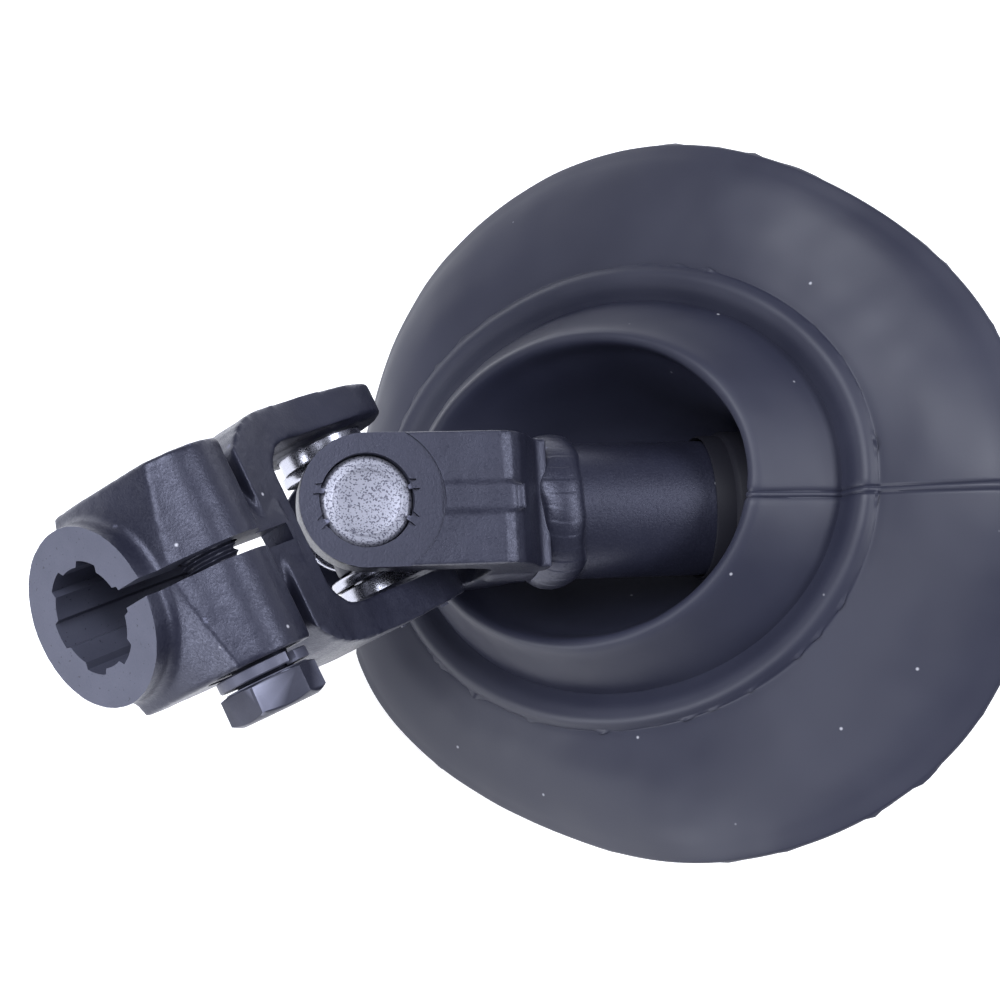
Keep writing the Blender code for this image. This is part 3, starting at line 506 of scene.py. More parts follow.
# Bare steel cut by a tool and dulled by a thin oxide, the drawn steel of the cups, and ground steel
BARE = satin(
    "machined_steel", (0.062, 0.066, 0.096, 1), (0.100, 0.104, 0.145, 1), (0.42, 0.58), (0.25, 0.05), 0.3,
    (0.035, 0.036, 0.052, 1), patch=0.15, grain=3.0, speck=1.8, share=0.16, dust=0.02,
)
CUP = satin(
    "cup_steel", (0.22, 0.225, 0.27, 1), (0.34, 0.345, 0.39, 1), (0.36, 0.55), (0.3, 0.06), 0.55,
    (0.09, 0.09, 0.12, 1), patch=0.2, grain=4.2, speck=2.9, share=0.46, dust=0.0,
)
GROUND = satin(
    "ground_steel", (0.36, 0.365, 0.42, 1), (0.56, 0.565, 0.62, 1), (0.18, 0.34), (0.2, 0.03), 1.0,
    patch=0.12, grain=4.0, speck=1.6, share=0.15, dust=0.0,
)
OXIDE = black_oxide()
BOOT = boot_rubber()
SEAL = moulded("seal_rubber", (0.010, 0.010, 0.013, 1), (0.024, 0.024, 0.030, 1), 0.45, 0.5, 0.15)
NYLON = moulded("white_nylon", (0.44, 0.44, 0.42, 1), (0.54, 0.54, 0.51, 1), 0.4, 0.5, 0.12)
BLACK_NYLON = moulded(
    "black_nylon", (0.007, 0.007, 0.010, 1), (0.014, 0.014, 0.019, 1), 0.55, 0.12, 0.12,
)


# Forged yokes


def crotch(name, reach, fillet=6.0):
    """The space between the ears, round about the pin."""
    arm = EAR_INNER + 1.5
    pad = EAR_INNER + 0.7
    upper = [(0, pad), (11.2, pad), (12.2, arm)] + arc((reach - fillet, arm - fillet), fillet, 90, 0, 6)
    lower = [(r, -z) for r, z in reversed(upper)]
    return lathe(name, upper + lower, "Z", 64, False)


def ear_pads(name, outer):
    """The machined discs inside the two ears, as one cutter that clears the space between them."""
    return rod(name, outer, -EAR_INNER, EAR_INNER, "Z", 72)


def stakes(angles, radius=BORE_RADIUS):
    """Small punch marks that push the ear's metal over the cup: each a pair of notches round a lip."""
    cuts, lips = [], []
    for angle in angles:
        turn = math.radians(angle)
        out = Vector((math.cos(turn), math.sin(turn)))
        side = Vector((-out.y, out.x))
        for z in (1, -1):
            for shift in (-1, 1):
                middle = out * (radius + 0.25) + side * (shift * 0.85)
                corners = [
                    middle + out * 0.95, middle + side * 0.5 - out * 0.5, middle - side * 0.5 - out * 0.5,
                ]
                cuts.append(plate("stake_cut", [tuple(c) for c in corners], 0.8, "Z", z * EAR_OUTER))
            tip = out * (radius - 0.75)
            root = out * (radius + 0.7)
            lip = [root + side * 0.62, tip + side * 0.34, tip - side * 0.34, root - side * 0.62]
            lips.append(plate("stake_lip", [tuple(c) for c in lip], 0.28, "Z", z * (EAR_OUTER - 0.42)))
    return cuts, lips


def tube_fork(name, shank_radius, shank_end, with_spigot):
    """The welded fork: round ears, straight straps, a rounded shoulder and a round shank."""
    top = EAR_OUTER + 0.35
    plan = mirrored(arc((0, 0), TUBE_EAR, 180, 90, 24) + [(22.0, TUBE_EAR), (33.5, TUBE_EAR - 0.2)])
    fork = plate(name, plan, EAR_OUTER + 0.4)
    side = mirrored([
        (-20, top), (23.6, top), (25.4, top - 0.45), (27.0, top - 1.5), (28.5, top - 3.4),
        (29.8, top - 5.8), (31.2, shank_radius + 0.6), (33.0, shank_radius), (shank_end, shank_radius),
    ])
    combine(fork, [plate("side", side, 30, "Y")], "INTERSECT")
    strips = []
    for z in (1, -1):
        strip = mirrored([(9.0, 2.3), (25.4, 2.3)])
        strips.append(plate("strip", strip, 0.9, "Z", z * (top - 0.55)))
        lump = mirrored([(24.0, 2.5), (27.4, 2.1)])
        strips.append(plate("strip_end", lump, 1.0, "Z", z * (top - 1.1)))
    shank = rod("shank", shank_radius, 24, shank_end, "X")
    combine(fork, [crotch("crotch", 25.5)])
    # The shank's part inside the crotch is cut away after the remesh.
    merged(fork, strips + [shank])
    forge(fork, 0.42, 4, 0.06)
    reach = EAR_OUTER + 6
    cutters = [
        ear_pads("pads", 10.2),
        rod("bore", BORE_RADIUS, -reach, reach, "Z", 96),
        crotch_core(25.3),
    ]
    for z in (1, -1):
        low, high = sorted((z * EAR_OUTER, z * reach))
        cutters.append(rod("spot_face", SPOT_FACE, low, high, "Z", 96))
    combine(fork, cutters, "DIFFERENCE", "MANIFOLD")
    cuts, lips = stakes((16, 167, 206, 335))
    combine(fork, cuts, "DIFFERENCE", "MANIFOLD")
    combine(fork, lips, "UNION", "MANIFOLD")
    if with_spigot:
        spigot = rod("spigot", TUBE_RADIUS - 2.3, shank_end - 2, shank_end + 9, "X")
        combine(fork, [spigot], "UNION", "MANIFOLD")
    return smooth(fork)


def crotch_core(reach):
    """Clears what reaches into the crotch along the shaft's axis."""
    return rod("core", reach, -9.0, 9.0, "Z", 72)


def bare_on_tube_fork(centre, normal):
    """Bores and inner pads are bare (1), and the spot faces carry paint with no worn edges (2)."""
    radius = math.hypot(centre.x, centre.y)
    bore = radius < BORE_RADIUS + 0.06 and abs(normal.z) < 0.5
    flat = abs(normal.z) > 0.98
    if bore or (flat and abs(abs(centre.z) - EAR_INNER) < 0.03):
        return 1
    return 2 if flat and radius < SPOT_FACE and abs(abs(centre.z) - EAR_OUTER) < 0.03 else 0


def splines():
    pitch = 60
    points = []
    for groove in range(6):
        first = pitch * groove
        points += arc((0, 0), 9.3, first - 0.22 * pitch, first + 0.22 * pitch, 6)
        points += arc((0, 0), 8.3, first + 0.28 * pitch, first + 0.72 * pitch, 6)
    return points


def clamp_fork(name):
    """The fork with the splined clamp: swept ears, round hub, collar and the two lugs."""
    swept = [(14.2, CLAMP_EAR), (24, 13.6), (33, HUB_RADIUS - 0.3)]
    plan = mirrored(arc((0, 0), CLAMP_EAR, 180, 90, 24) + swept)
    fork = plate(name, plan, EAR_OUTER)
    side = mirrored([
        (-CLAMP_EAR, EAR_OUTER - 1.1), (CUP_RADIUS, EAR_OUTER), (22, EAR_OUTER - 0.1),
        (26, EAR_OUTER - 0.8), (28.8, EAR_OUTER - 1.9), (31, EAR_OUTER - 3.6), (33, HUB_RADIUS + 0.1),
    ])
    combine(fork, [plate("side", side, 30, "Y")], "INTERSECT")
    hub_profile = [
        (0, 61.8), (COLLAR_RADIUS, 61.8), (COLLAR_RADIUS, 57.2), (HUB_RADIUS, 55.8), (HUB_RADIUS, 28.3),
        (0, 28.3),
    ]
    hub = lathe("hub", hub_profile, "X", 96, False)
    boss = arc((BOLT_X, BOLT_Y), BOSS_RADIUS, 192, 52, 96)
    bands = [
        (52.6, 20.0), (53.8, 19.1), (55.0, 18.3), (56.2, 17.3), (57.3, 16.2), (58.2, 15.3), (59.0, 14.6),
        (59.0, -4.7), (BOLT_X - BOSS_RADIUS, -4.7),
    ]
    lugs = plate("lugs", boss + bands, LUG_HALF)
    limit_profile = [
        (0, 58.6), (COLLAR_RADIUS - 0.2, 58.6), (15.6, 57.2), (17.5, 56.5), (21, 55.4), (26, 54.0),
        (34, 51.2), (34, 0), (0, 0),
    ]
    limit = lathe("limit", limit_profile, "X", 96, False)
    combine(lugs, [limit], "INTERSECT")
    combine(fork, [crotch("crotch", 28.5)])
    merged(fork, [hub, lugs])
    forge(fork, 0.42, 9, 0.08)
    reach = EAR_OUTER + 6
    # The saw leaves a round end, as deep as its disc reaches.
    disc = 30
    disc_middle = (SAW_END + disc * math.cos(math.radians(30)), 15)
    saw = arc(disc_middle, disc, 210, 150, 12) + [(64, 32), (64, 0)]
    hole = rod("bolt_hole", 5.1, -LUG_HALF - 3, LUG_HALF + 3, "Z", 48, (BOLT_X, BOLT_Y, 0))
    seat = rod("washer_seat", 8.8, -LUG_HALF - 3, -LUG_HALF + 0.25, "Z", 64, (BOLT_X, BOLT_Y, 0))
    cutters = [
        ear_pads("pads", 10.4),
        crotch_core(28.4),
        rod("bore", BORE_RADIUS, -reach, reach, "Z", 96),
        plate("spline", splines(), 22, "X", 44),
        plate("face", [(-30, -30), (30, -30), (30, 30), (-30, 30)], 2, "X", CLAMP_FACE + 2),
        plate("slot", saw, SAW_HALF),
        hole,
        seat,
    ]
    combine(fork, cutters, "DIFFERENCE", "MANIFOLD")
    cuts, lips = stakes((45, 135, 225, 315))
    combine(fork, cuts, "DIFFERENCE", "MANIFOLD")
    combine(fork, lips, "UNION", "MANIFOLD")
    return smooth(fork)


def bare_on_clamp(centre, normal):
    """The machined places of a clamp: end face, splines, saw cut, bolt hole, seat, bores and pads."""
    if centre.x > CLAMP_FACE - 0.05 and normal.x > 0.9:
        return True
    from_axis = math.hypot(centre.y, centre.z)
    if from_axis < 9.35 and centre.x > 22 and abs(normal.x) < 0.5:
        return True
    if abs(abs(centre.z) - SAW_HALF) < 0.02 and abs(normal.z) > 0.9 and centre.y > 5:
        return True
    from_bolt = math.hypot(centre.x - BOLT_X, centre.y - BOLT_Y)
    if from_bolt < 5.15 and abs(normal.z) < 0.4:
        return True
    if from_bolt < 8.8 and centre.z < -LUG_HALF + 0.3 and normal.z < -0.95:
        return True
    from_pin = math.hypot(centre.x, centre.y)
    if from_pin < BORE_RADIUS + 0.06 and abs(normal.z) < 0.5:
        return True
    return abs(abs(centre.z) - EAR_INNER) < 0.03 and abs(normal.z) > 0.95


# Bearings


def bearing_cup(name):
    """A drawn cup: chamfered rim, shallow outer band, a polished ring and a dished middle."""
    top = CUP_TOP
    r = CUP_RADIUS
    dome = [
        (0, top - 0.34), (1.6, top - 0.31), (3.4, top - 0.2), (4.9, top - 0.08), (5.35, top + 0.02),
        (5.62, top + 0.14), (5.9, top + 0.14), (6.12, top + 0.04), (6.5, top + 0.0), (7.0, top - 0.02),
        (7.3, top - 0.1), (7.6, top - 0.34), (7.83, top - 0.62), (r, top - 0.9),
    ]
    wall = [
        (r, CUP_MOUTH + 0.4), (r - 0.2, CUP_MOUTH), (r - 1.0, CUP_MOUTH), (r - 1.1, CUP_MOUTH + 0.3),
        (r - 1.1, top - 1.9), (r - 1.5, top - 1.6), (0, top - 1.6),
    ]
    return smooth(lathe(name, dome + wall, "Z", 96, False), 40)


def needle_ring(name):
    """Twelve needle rollers with rounded ends round a trunnion."""
    shape = bmesh.new()
    needles = 12
    sides = 16
    from_middle = 5.875
    profile = ((0.4, 11.95), (0.7, 12.1), (0.8, 12.4), (0.8, 17.7), (0.7, 18.0), (0.4, 18.15))
    spots = [2 * math.pi * k / sides for k in range(sides)]
    for i in range(needles):
        turn = 2 * math.pi * i / needles
        x = from_middle * math.cos(turn)
        y = from_middle * math.sin(turn)
        rings = []
        for r, height in profile:
            places = [(x + r * math.cos(a), y + r * math.sin(a), height) for a in spots]
            rings.append([shape.verts.new(place) for place in places])
        skin_rings(shape, rings, False)
        shape.faces.new(rings[0])
        shape.faces.new(rings[-1])
    return smooth(as_object(name, shape))


def seal_can(name):
    """The pressed steel can over the seal, its edge rolled at the cup."""
    profile = [
        (7.35, 9.35), (7.9, 9.3), (8.4, 9.45), (8.66, 9.8), (8.7, 10.3), (8.7, 10.9), (8.58, 11.15),
        (8.3, 11.2), (8.3, 10.3), (8.1, 9.95), (7.35, 9.9),
    ]
    return smooth(lathe(name, profile, "Z", 96), 40)


def seal_lip(name):
    """The rubber lip inside the can, round the trunnion."""
    profile = [
        (5.25, 9.6), (5.9, 9.32), (6.8, 9.4), (7.3, 9.6), (7.3, 10.0), (8.05, 10.15), (8.1, 11.15),
        (6.6, 11.15), (6.2, 10.4), (5.3, 10.2),
    ]
    return smooth(lathe(name, profile, "Z", 72), 50)


def spider(name):
    """The cross: a forged hub with four ground trunnions, each with a small centre hole."""
    hub = rod("hub_a", 6.8, -8.95, 8.95, "Z", 64)
    others = [rod("hub_b", 6.8, -8.95, 8.95, "X", 64)]
    ball = bmesh.new()
    bmesh.ops.create_uvsphere(ball, u_segments=48, v_segments=24, radius=8.3)
    others.append(as_object("hub_ball", ball))
    merged(hub, others)
    forge(hub, 0.4, 4, 0.1)
    hub.name = name
    trunnion = [
        (0, 0), (4.95, 0), (4.95, 18.0), (4.8, 18.3), (4.5, 18.5), (1.2, 18.5), (0.5, 17.8), (0, 17.8),
    ]
    arms = [lathe("arm", trunnion, direction, 64, False) for direction in ("Z", "-Z")]
    for sign in (1, -1):
        arms.append(lathe("arm", [(r, sign * h) for r, h in trunnion], "X", 64, False))
    combine(hub, arms, "UNION", "MANIFOLD")
    return smooth(hub)


def ground_on_spider(centre, normal):
    """The trunnions are ground, and the hub between them is as forged."""
    return max(abs(centre.x), abs(centre.z)) > 9.02


# Bolt and washer


def threaded(shape, radius, start, end, pitch, depth, sides=64, per_turn=10):
    """Rings of a screw thread from start to end, with a tapered tip."""
    rings = []
    tip_length = 1.1
    tip_step = 0.9
    count = int((end - start) / pitch * per_turn)
    for k in range(count + 1):
        z = start + (end - start) * k / count
        ring = []
        for i in range(sides):
            turn = 2 * math.pi * i / sides
            phase = (z / pitch - i / sides) % 1.0
            tooth = abs(2 * phase - 1)
            near = min(1.0, (z - start) / pitch)
            taper = min(1.0, max(0.0, (end - z) / tip_length))
            r = radius - depth * near * min(1.0, 1.25 * tooth) - (1 - taper) * tip_step
            ring.append(shape.verts.new((r * math.cos(turn), r * math.sin(turn), z)))
        rings.append(ring)
    return rings


def pinch_bolt(name):
    """Hexagon head with a washer face, a plain shank and a thread."""
    under = -(LUG_HALF + WASHER + 2 * GAP)
    low = under - 5.6
    corner = ACROSS_FLATS / 2 / math.cos(math.pi / 6)
    turns = [math.radians(60 * i + 30) for i in range(6)]
    outline = [(corner * math.cos(a), corner * math.sin(a)) for a in turns]
    head = plate(name, outline, 2.7, "Z", low + 2.7)
    cone_profile = [
        (0, low), (6.35, low), (6.9, low + 0.18), (corner + 0.25, low + 1.0),
        (corner + 0.3, under - 0.6), (7.0, under - 0.2), (0, under - 0.2),
    ]
    cone = lathe("cone", cone_profile, "Z", 96, False)
    combine(head, [cone], "INTERSECT", "MANIFOLD")
    edges = head.modifiers.new("edges", "BEVEL")
    edges.width = 0.22 * MM
    edges.segments = 3
    edges.limit_method = "ANGLE"
    edges.angle_limit = math.radians(20)
    settle(head)
    shape = bmesh.new()
    tip = LUG_HALF - 0.6
    plain = [
        (0, low + 1.0), (4.0, low + 1.0), (6.9, under - 0.4), (6.9, under - 0.05), (6.7, under),
        (4.95, under), (4.72, under + 0.3), (4.7, -3.2),
    ]
    sides = 64
    rings = [ring_round_z(shape, radius, height, sides) for radius, height in plain]
    rings += threaded(shape, BOLT_RADIUS, -3.0, tip, 1.25, 0.62, sides)
    rings.append([shape.verts.new((0, 0, tip))])
    skin_rings(shape, rings, False)
    shank = as_object("shank", shape)
    merged(head, [shank])
    for vertex in head.data.vertices:
        vertex.co += Vector((BOLT_X, BOLT_Y, 0)) * MM
    return smooth(head, 38)


def spring_washer(name):
    """A square-section ring, split and slightly sprung."""
    shape = bmesh.new()
    middle = -(LUG_HALF + GAP + WASHER / 2)
    section = (
        (5.1, -0.82), (5.25, -0.95), (7.4, -0.95), (7.6, -0.75), (7.6, 0.75), (7.4, 0.95), (5.25, 0.95),
        (5.1, 0.82),
    )
    split_at = 90
    half_split = 6
    spring = 0.42
    rings = []
    steps = 96
    for k in range(steps + 1):
        share = k / steps
        turn = math.radians(split_at + half_split + (360 - 2 * half_split) * share)
        lift = (share - 0.5) * spring
        ring = []
        for radius, height in section:
            x = BOLT_X + radius * math.cos(turn)
            y = BOLT_Y + radius * math.sin(turn)
            z = max(-WASHER / 2, min(WASHER / 2, height + lift))
            ring.append(shape.verts.new((x, y, middle + z)))
        rings.append(ring)
    skin_rings(shape, rings, False)
    shape.faces.new(rings[0])
    shape.faces.new(list(reversed(rings[-1])))
    return smooth(as_object(name, shape))


# Shaft


def weld(name, radius, middle):
    """A bead laid in overlapping ripples round the shank, with uneven toes."""
    shape = bmesh.new()
    rings = []
    steps = 420
    ripples = 34
    crown = 1.45
    for k in range(steps):
        turn = 2 * math.pi * k / steps
        wander = 0.28 * math.sin(3 * turn + 0.7) + 0.2 * math.sin(7 * turn + 2.0)
        width = 4.0 + 0.22 * math.sin(5 * turn + 1.3) + 0.12 * math.sin(11 * turn)
        ring = []
        for j in range(15):
            share = -1 + 2 * j / 14
            ripple = (ripples * turn / (2 * math.pi) + 0.32 * share * share) % 1.0
            wave = 0.10 * (1 - ripple) ** 0.6
            rise = (1 - share * share) ** 0.62
            height = rise * (crown + wave + 0.08 * math.sin(4 * turn))
            r = radius + 0.18 + height
            x = middle + wander + share * width
            ring.append(shape.verts.new((x, r * math.cos(turn), r * math.sin(turn))))
        root = radius + 0.05
        for side in (1, -1):
            x = middle + wander + side * width * 0.98
            ring.append(shape.verts.new((x, root * math.cos(turn), root * math.sin(turn))))
        rings.append(ring)
    skin_rings(shape, rings, True)
    return smooth(as_object(name, shape), 60)


def outer_tube(name):
    """The drawn tube, its open end rounded."""
    r = TUBE_RADIUS
    bore = r - 2.1
    profile = [
        (r - 0.3, TUBE_START), (r, TUBE_START + 0.3), (r, TUBE_END - 0.5), (r - 0.5, TUBE_END),
        (bore + 0.5, TUBE_END), (bore, TUBE_END - 0.5), (bore, TUBE_START + 0.3), (bore + 0.3, TUBE_START),
    ]
    # The long runs are cut into short ones, so that no face is a sliver.
    stretched = []
    for (radius, x), (next_radius, next_x) in zip(profile, profile[1:] + profile[:1]):
        steps = 24 if abs(x - next_x) > 50 else 1
        for i in range(steps):
            stretched.append((radius + (next_radius - radius) * i / steps, x + (next_x - x) * i / steps))
    return smooth(lathe(name, stretched, "X", 128))


def tube_bush(name):
    """The bush that the boot turns on: stepped nose, plain run and a rounded lip."""
    profile = [
        (12.65, 64.4), (13.0, 64.0), (13.1, 64.0), (13.3, 64.3), (13.3, 67.6), (13.5, 67.8),
        (13.8, 68.2), (14.0, 68.6), (14.0, 97.0), (16.6, 97.0), (17.0, 97.4), (17.0, 98.6),
        (16.6, 99.0), (13.0, 99.0), (12.65, 98.7),
    ]
    return smooth(lathe(name, profile, "X", 96), 40)


def slip_shaft(name, root, tip, start, end, teeth=12):
    """The toothed sliding shaft with chamfered ends."""
    shape = bmesh.new()
    rings = []
    pitch = 2 * math.pi / teeth
    flank = (
        (-0.30, root), (-0.27, root + 0.08), (-0.18, tip - 0.1), (-0.15, tip), (0.0, tip), (0.15, tip),
        (0.18, tip - 0.1), (0.27, root + 0.08), (0.30, root), (0.5, root - 0.02),
    )
    for x, inset in ((start, 1.6), (start + 1.4, 0.15), (start + 1.9, 0.0), (end, 0.0)):
        ring = []
        for tooth in range(teeth):
            for angle, radius in flank:
                turn = (tooth + angle) * pitch
                r = min(radius, tip - inset)
                ring.append(shape.verts.new((x, r * math.cos(turn), r * math.sin(turn))))
        rings.append(ring)
    skin_rings(shape, rings, False)
    shape.faces.new(rings[0])
    shape.faces.new(list(reversed(rings[-1])))
    return smooth(as_object(name, shape))


def end_cap(name, face):
    """The rubber cap on the tube's open end, with a rolled rim and a wiping lip."""
    wall = 1.4
    inside = TUBE_RADIUS + GAP
    out = inside + wall
    profile = [
        (out - 0.5, face - 7.0), (out, face - 6.5), (out + 0.35, face - 6.0), (out + 0.35, face - 5.0),
        (out, face - 4.5), (out, face + 1.6), (out - 0.3, face + 2.3), (out - 0.9, face + 2.6),
        (10.4, face + 2.6), (9.6, face + 2.2), (9.1, face + 1.2), (9.4, face + 0.5), (10.2, face + GAP),
        (inside, face + GAP), (inside, face - 6.8),
    ]
    return smooth(lathe(name, profile, "X", 96), 40)


# Boot


def mix(first, second, share):
    return first + (second - first) * share


def boot_stations():
    """Sections from the flange's edge to the collar: centre, tilt, half length and width, edge share."""
    tilt = 42.0
    up = Vector((math.cos(math.radians(tilt)), 0, math.sin(math.radians(tilt))))
    out = Vector((-up.z, 0, up.x))
    foot = Vector((51.8, 4.2, -12.0))

    def section(rise, slide, side, length, width, edge=0.0):
        at = foot + out * rise + up * slide + Vector((0, side, 0))
        return (at.x, at.y, at.z, tilt, length, width, edge)

    rim_at = (13.3, -0.7, 0.0, 36.2, 29.1)
    stations = [
        section(-5.9, 5.8, -1.4, 73.8, 67.1, 1.0),
        section(-5.0, 5.3, -1.3, 71.6, 65.0, 0.92),
        section(-2.95, 4.2, -1.0, 67.6, 60.3, 0.72),
        section(-0.9, 2.4, -0.6, 60.9, 52.9, 0.42),
        section(-0.05, 0.8, -0.2, 54.7, 46.0, 0.14),
        section(0.15, 0.25, -0.05, 52.7, 43.8, 0.05),
        section(1.1, 0.0, 0.0, 51.9, 42.9),
        section(1.75, 0.0, 0.0, 51.1, 42.1),
        section(1.8, 0.0, 0.0, 50.2, 41.2),
        section(1.5, 0.0, 0.0, 49.1, 40.1),
        section(0.35, 0.0, 0.0, 47.2, 38.2),
        section(-0.15, 0.0, 0.0, 45.9, 36.9),
        section(0.6, 0.0, 0.0, 45.0, 36.2),
        section(4.2, -0.2, 0.0, 42.8, 34.4),
        section(8.8, -0.45, 0.0, 39.2, 31.6),
        section(11.9, -0.6, 0.0, 36.9, 29.8),
        section(13.1, -0.7, 0.0, 35.9, 28.9),
        section(13.3, -0.7, 0.0, 35.1, 28.1),
    ]
    rim = section(*rim_at)
    collar = (77.7, 0.0, 0.0, 90.0, 15.3, 15.3, 0.0)
    for share in (0.09, 0.2, 0.4, 0.6, 0.8):
        row = [mix(a, b, share) for a, b in zip(rim, collar)]
        row[3] = mix(rim[3], collar[3], share ** 1.6)
        row[5] = mix(rim[5], collar[5], share ** 0.8)
        row[2] -= 4 * share * (1 - share) * 3.2
        stations.append(tuple(row))
    for x, radius in ((76.2, 15.5), (78.5, 15.3), (95.7, 15.3)):
        stations.append((x, 0, 0, 90, radius, radius, 0))
    return stations


def catmull(rows, steps):
    """Rows of values run through smoothly, with this many steps between two of them."""
    found = []
    for k in range(len(rows) - 1):
        before = rows[max(0, k - 1)]
        after = rows[min(len(rows) - 1, k + 2)]
        for i in range(steps):
            t = i / steps
            row = []
            for a, b, c, d in zip(before, rows[k], rows[k + 1], after):
                square = (2 * a - 5 * b + 4 * c - d) * t * t
                cube = (3 * b - a - 3 * c + d) * t ** 3
                row.append(0.5 * (2 * b + (c - a) * t + square + cube))
            found.append(row)
    found.append(list(rows[-1]))
    return found


# Waves of the flange's edge, each with its count, its size and its phase in degrees: in the outline's
# radius, and out of the flange's plane
EDGE_LOBES = ((2, 1.6, -141), (3, 1.3, -175), (4, 0.9, 10))
EDGE_WAVES = ((2, 1.2, -82), (4, 1.2, 64), (5, 2.1, 122))


def waves(terms, turn):
    return sum(size * math.sin(n * turn + math.radians(phase)) for n, size, phase in terms)


def boot_point(row, turn):
    x, y, z, tilt, length, width, edge = row
    tilt = math.radians(tilt)
    edge = max(0.0, edge)
    up = Vector((math.cos(tilt), 0, math.sin(tilt)))
    out = Vector((-up.z, 0, up.x))
    reach = max(math.cos(turn), -(1 - edge * (1 - math.cos(math.radians(20)))))
    round_off = edge * waves(EDGE_LOBES, turn)
    lift = edge * waves(EDGE_WAVES, turn)
    spot = Vector((x, y, z)) + up * ((length + round_off) * reach) + out * lift
    spot.y += (width + round_off) * math.sin(turn)
    return spot


def ragged(turn, seed):
    """A torn-off mould edge: mostly thin, with short tongues."""
    place = Vector((math.cos(turn) * 14, math.sin(turn) * 14, seed))
    return max(0.0, noise.noise(place) + 0.35 * noise.noise(place * 3.1) - 0.12)


# The boot's mould seam: half the distance between its two grooves, their depth and width
SEAM_HALF = 0.55
SEAM_DEPTH = 0.30
SEAM_WIDTH = 0.22
# How far the seam is to one side, as a share of the boot's own side shift, and further at its edge
SEAM_SHIFT = 1.2
EDGE_SEAM_SHIFT = 2.4
# Extra turns beside the seam, in radians
SEAM_OFFSETS = (0.006, 0.010, 0.014, 0.019, 0.025)
# Rows of the boot that lie on the bead's outer side, and the reach of the flash there
FLASH_ROWS = (33, 34)
FLASH_REACH = 1.5


def boot_turns(count):
    """Even turns round the boot, with closer ones at the mould seam's two sides."""
    even = [2 * math.pi * i / count for i in range(count)]
    extra = []
    for middle in (0, math.pi):
        for off in SEAM_OFFSETS:
            extra += [(middle + off) % (2 * math.pi), (middle - off) % (2 * math.pi)]
    extra = [a for a in extra if min(abs(a - b) for b in even) > 0.002]
    return sorted(even + extra)


def boot(name):
    """The moulded boot, thin at the flange's edge, with mould flash, a seam and slight dents."""
    shape = bmesh.new()
    rows = catmull(boot_stations(), 6)
    turns = boot_turns(264)
    segments = len(turns)
    grid = []
    for row in rows:
        # The seam lies a little to one side of the boot's own middle plane.
        shift = (SEAM_SHIFT * row[1] + EDGE_SEAM_SHIFT * max(0.0, row[6])) / row[5]
        grid.append([boot_point(row, turn - shift * math.cos(turn)) for turn in turns])
    count = len(grid)

    def normal_at(k, i):
        low, high = grid[max(0, k - 1)][i], grid[min(count - 1, k + 1)][i]
        left, right = grid[k][i - 1], grid[k][(i + 1) % segments]
        return (high - low).cross(right - left).normalized()

    outer, inner = [], []
    for k in range(count):
        first, second = [], []
        for i in range(segments):
            turn = turns[i]
            spot = grid[k][i]
            normal = normal_at(k, i)
            dent = 0.35 * noise.noise(spot * 0.045) + 0.12 * noise.noise(spot * 0.16)
            off = rows[k][5] * abs(math.sin(turn))
            seam = -SEAM_DEPTH * math.exp(-((off - SEAM_HALF) / SEAM_WIDTH) ** 2) if off < 4 else 0.0
            flash = FLASH_REACH * ragged(turn, 3.0) if k in FLASH_ROWS else 0.0
            thick = 0.62 + 0.38 * min(1.0, k / 8)
            first.append(shape.verts.new(spot - normal * (thick - dent + seam + flash)))
            second.append(shape.verts.new(spot + normal * (thick + dent)))
        outer.append(first)
        inner.append(second)
    skin_rings(shape, outer, False)
    skin_rings(shape, inner, False)
    # The flange's edge is rounded and carries a thin torn flash; the collar's end is flat.
    lip = []
    for i, turn in enumerate(turns):
        outward = (grid[0][i] - grid[2][i]).normalized()
        lip.append(shape.verts.new(grid[0][i] + outward * (0.45 + 0.8 * ragged(turn, 9.0))))
    skin_rings(shape, [outer[0], lip, inner[0]], False)
    skin_rings(shape, [outer[-1], inner[-1]], False)
    return smooth(as_object(name, shape), 55)


# Assembly


SLOT_FINISH = {
    "painted_steel": PAINT,
    "bright_steel": GROUND,
    "cup_steel": CUP,
    "black_oxide": OXIDE,
    "boot_rubber": BOOT,
    "seal_rubber": SEAL,
    "nylon": NYLON,
    "black_nylon": BLACK_NYLON,
}


def bearings(prefix, body, axes):
    """Both cups of one yoke, each with its needles and seal. The rear set is the front turned over."""
    for side, place in (("_front", axes), ("_rear", axes @ Matrix.Rotation(math.pi, 4, "X"))):
        cup, rollers, seal = prefix + "_cup", prefix + "_rollers", prefix + "_seal"
        needles = prefix + "_needles_shown"
        dress(CUP_SHAPE, body, place, [], [cup + side], cup + "_shown" + side)
        dress(NEEDLE_SHAPE, body, place, [GROUND], [rollers + side], needles + side)
        dress(CAN_SHAPE, body, place, [GROUND], [seal + side], seal + "_can" + side)
        dress(LIP_SHAPE, body, place, [SEAL], (), seal + "_lip" + side)


def cup_wall(centre, normal):
    """The cup's wall is smooth drawn steel, and only its closed end has specks."""
    return centre.z < CUP_TOP - 1.0


CUP_SHAPE = finish_by(bearing_cup("cup_shape"), [CUP, GROUND], cup_wall)
NEEDLE_SHAPE = needle_ring("needle_shape")
CAN_SHAPE = seal_can("can_shape")
LIP_SHAPE = seal_lip("lip_shape")


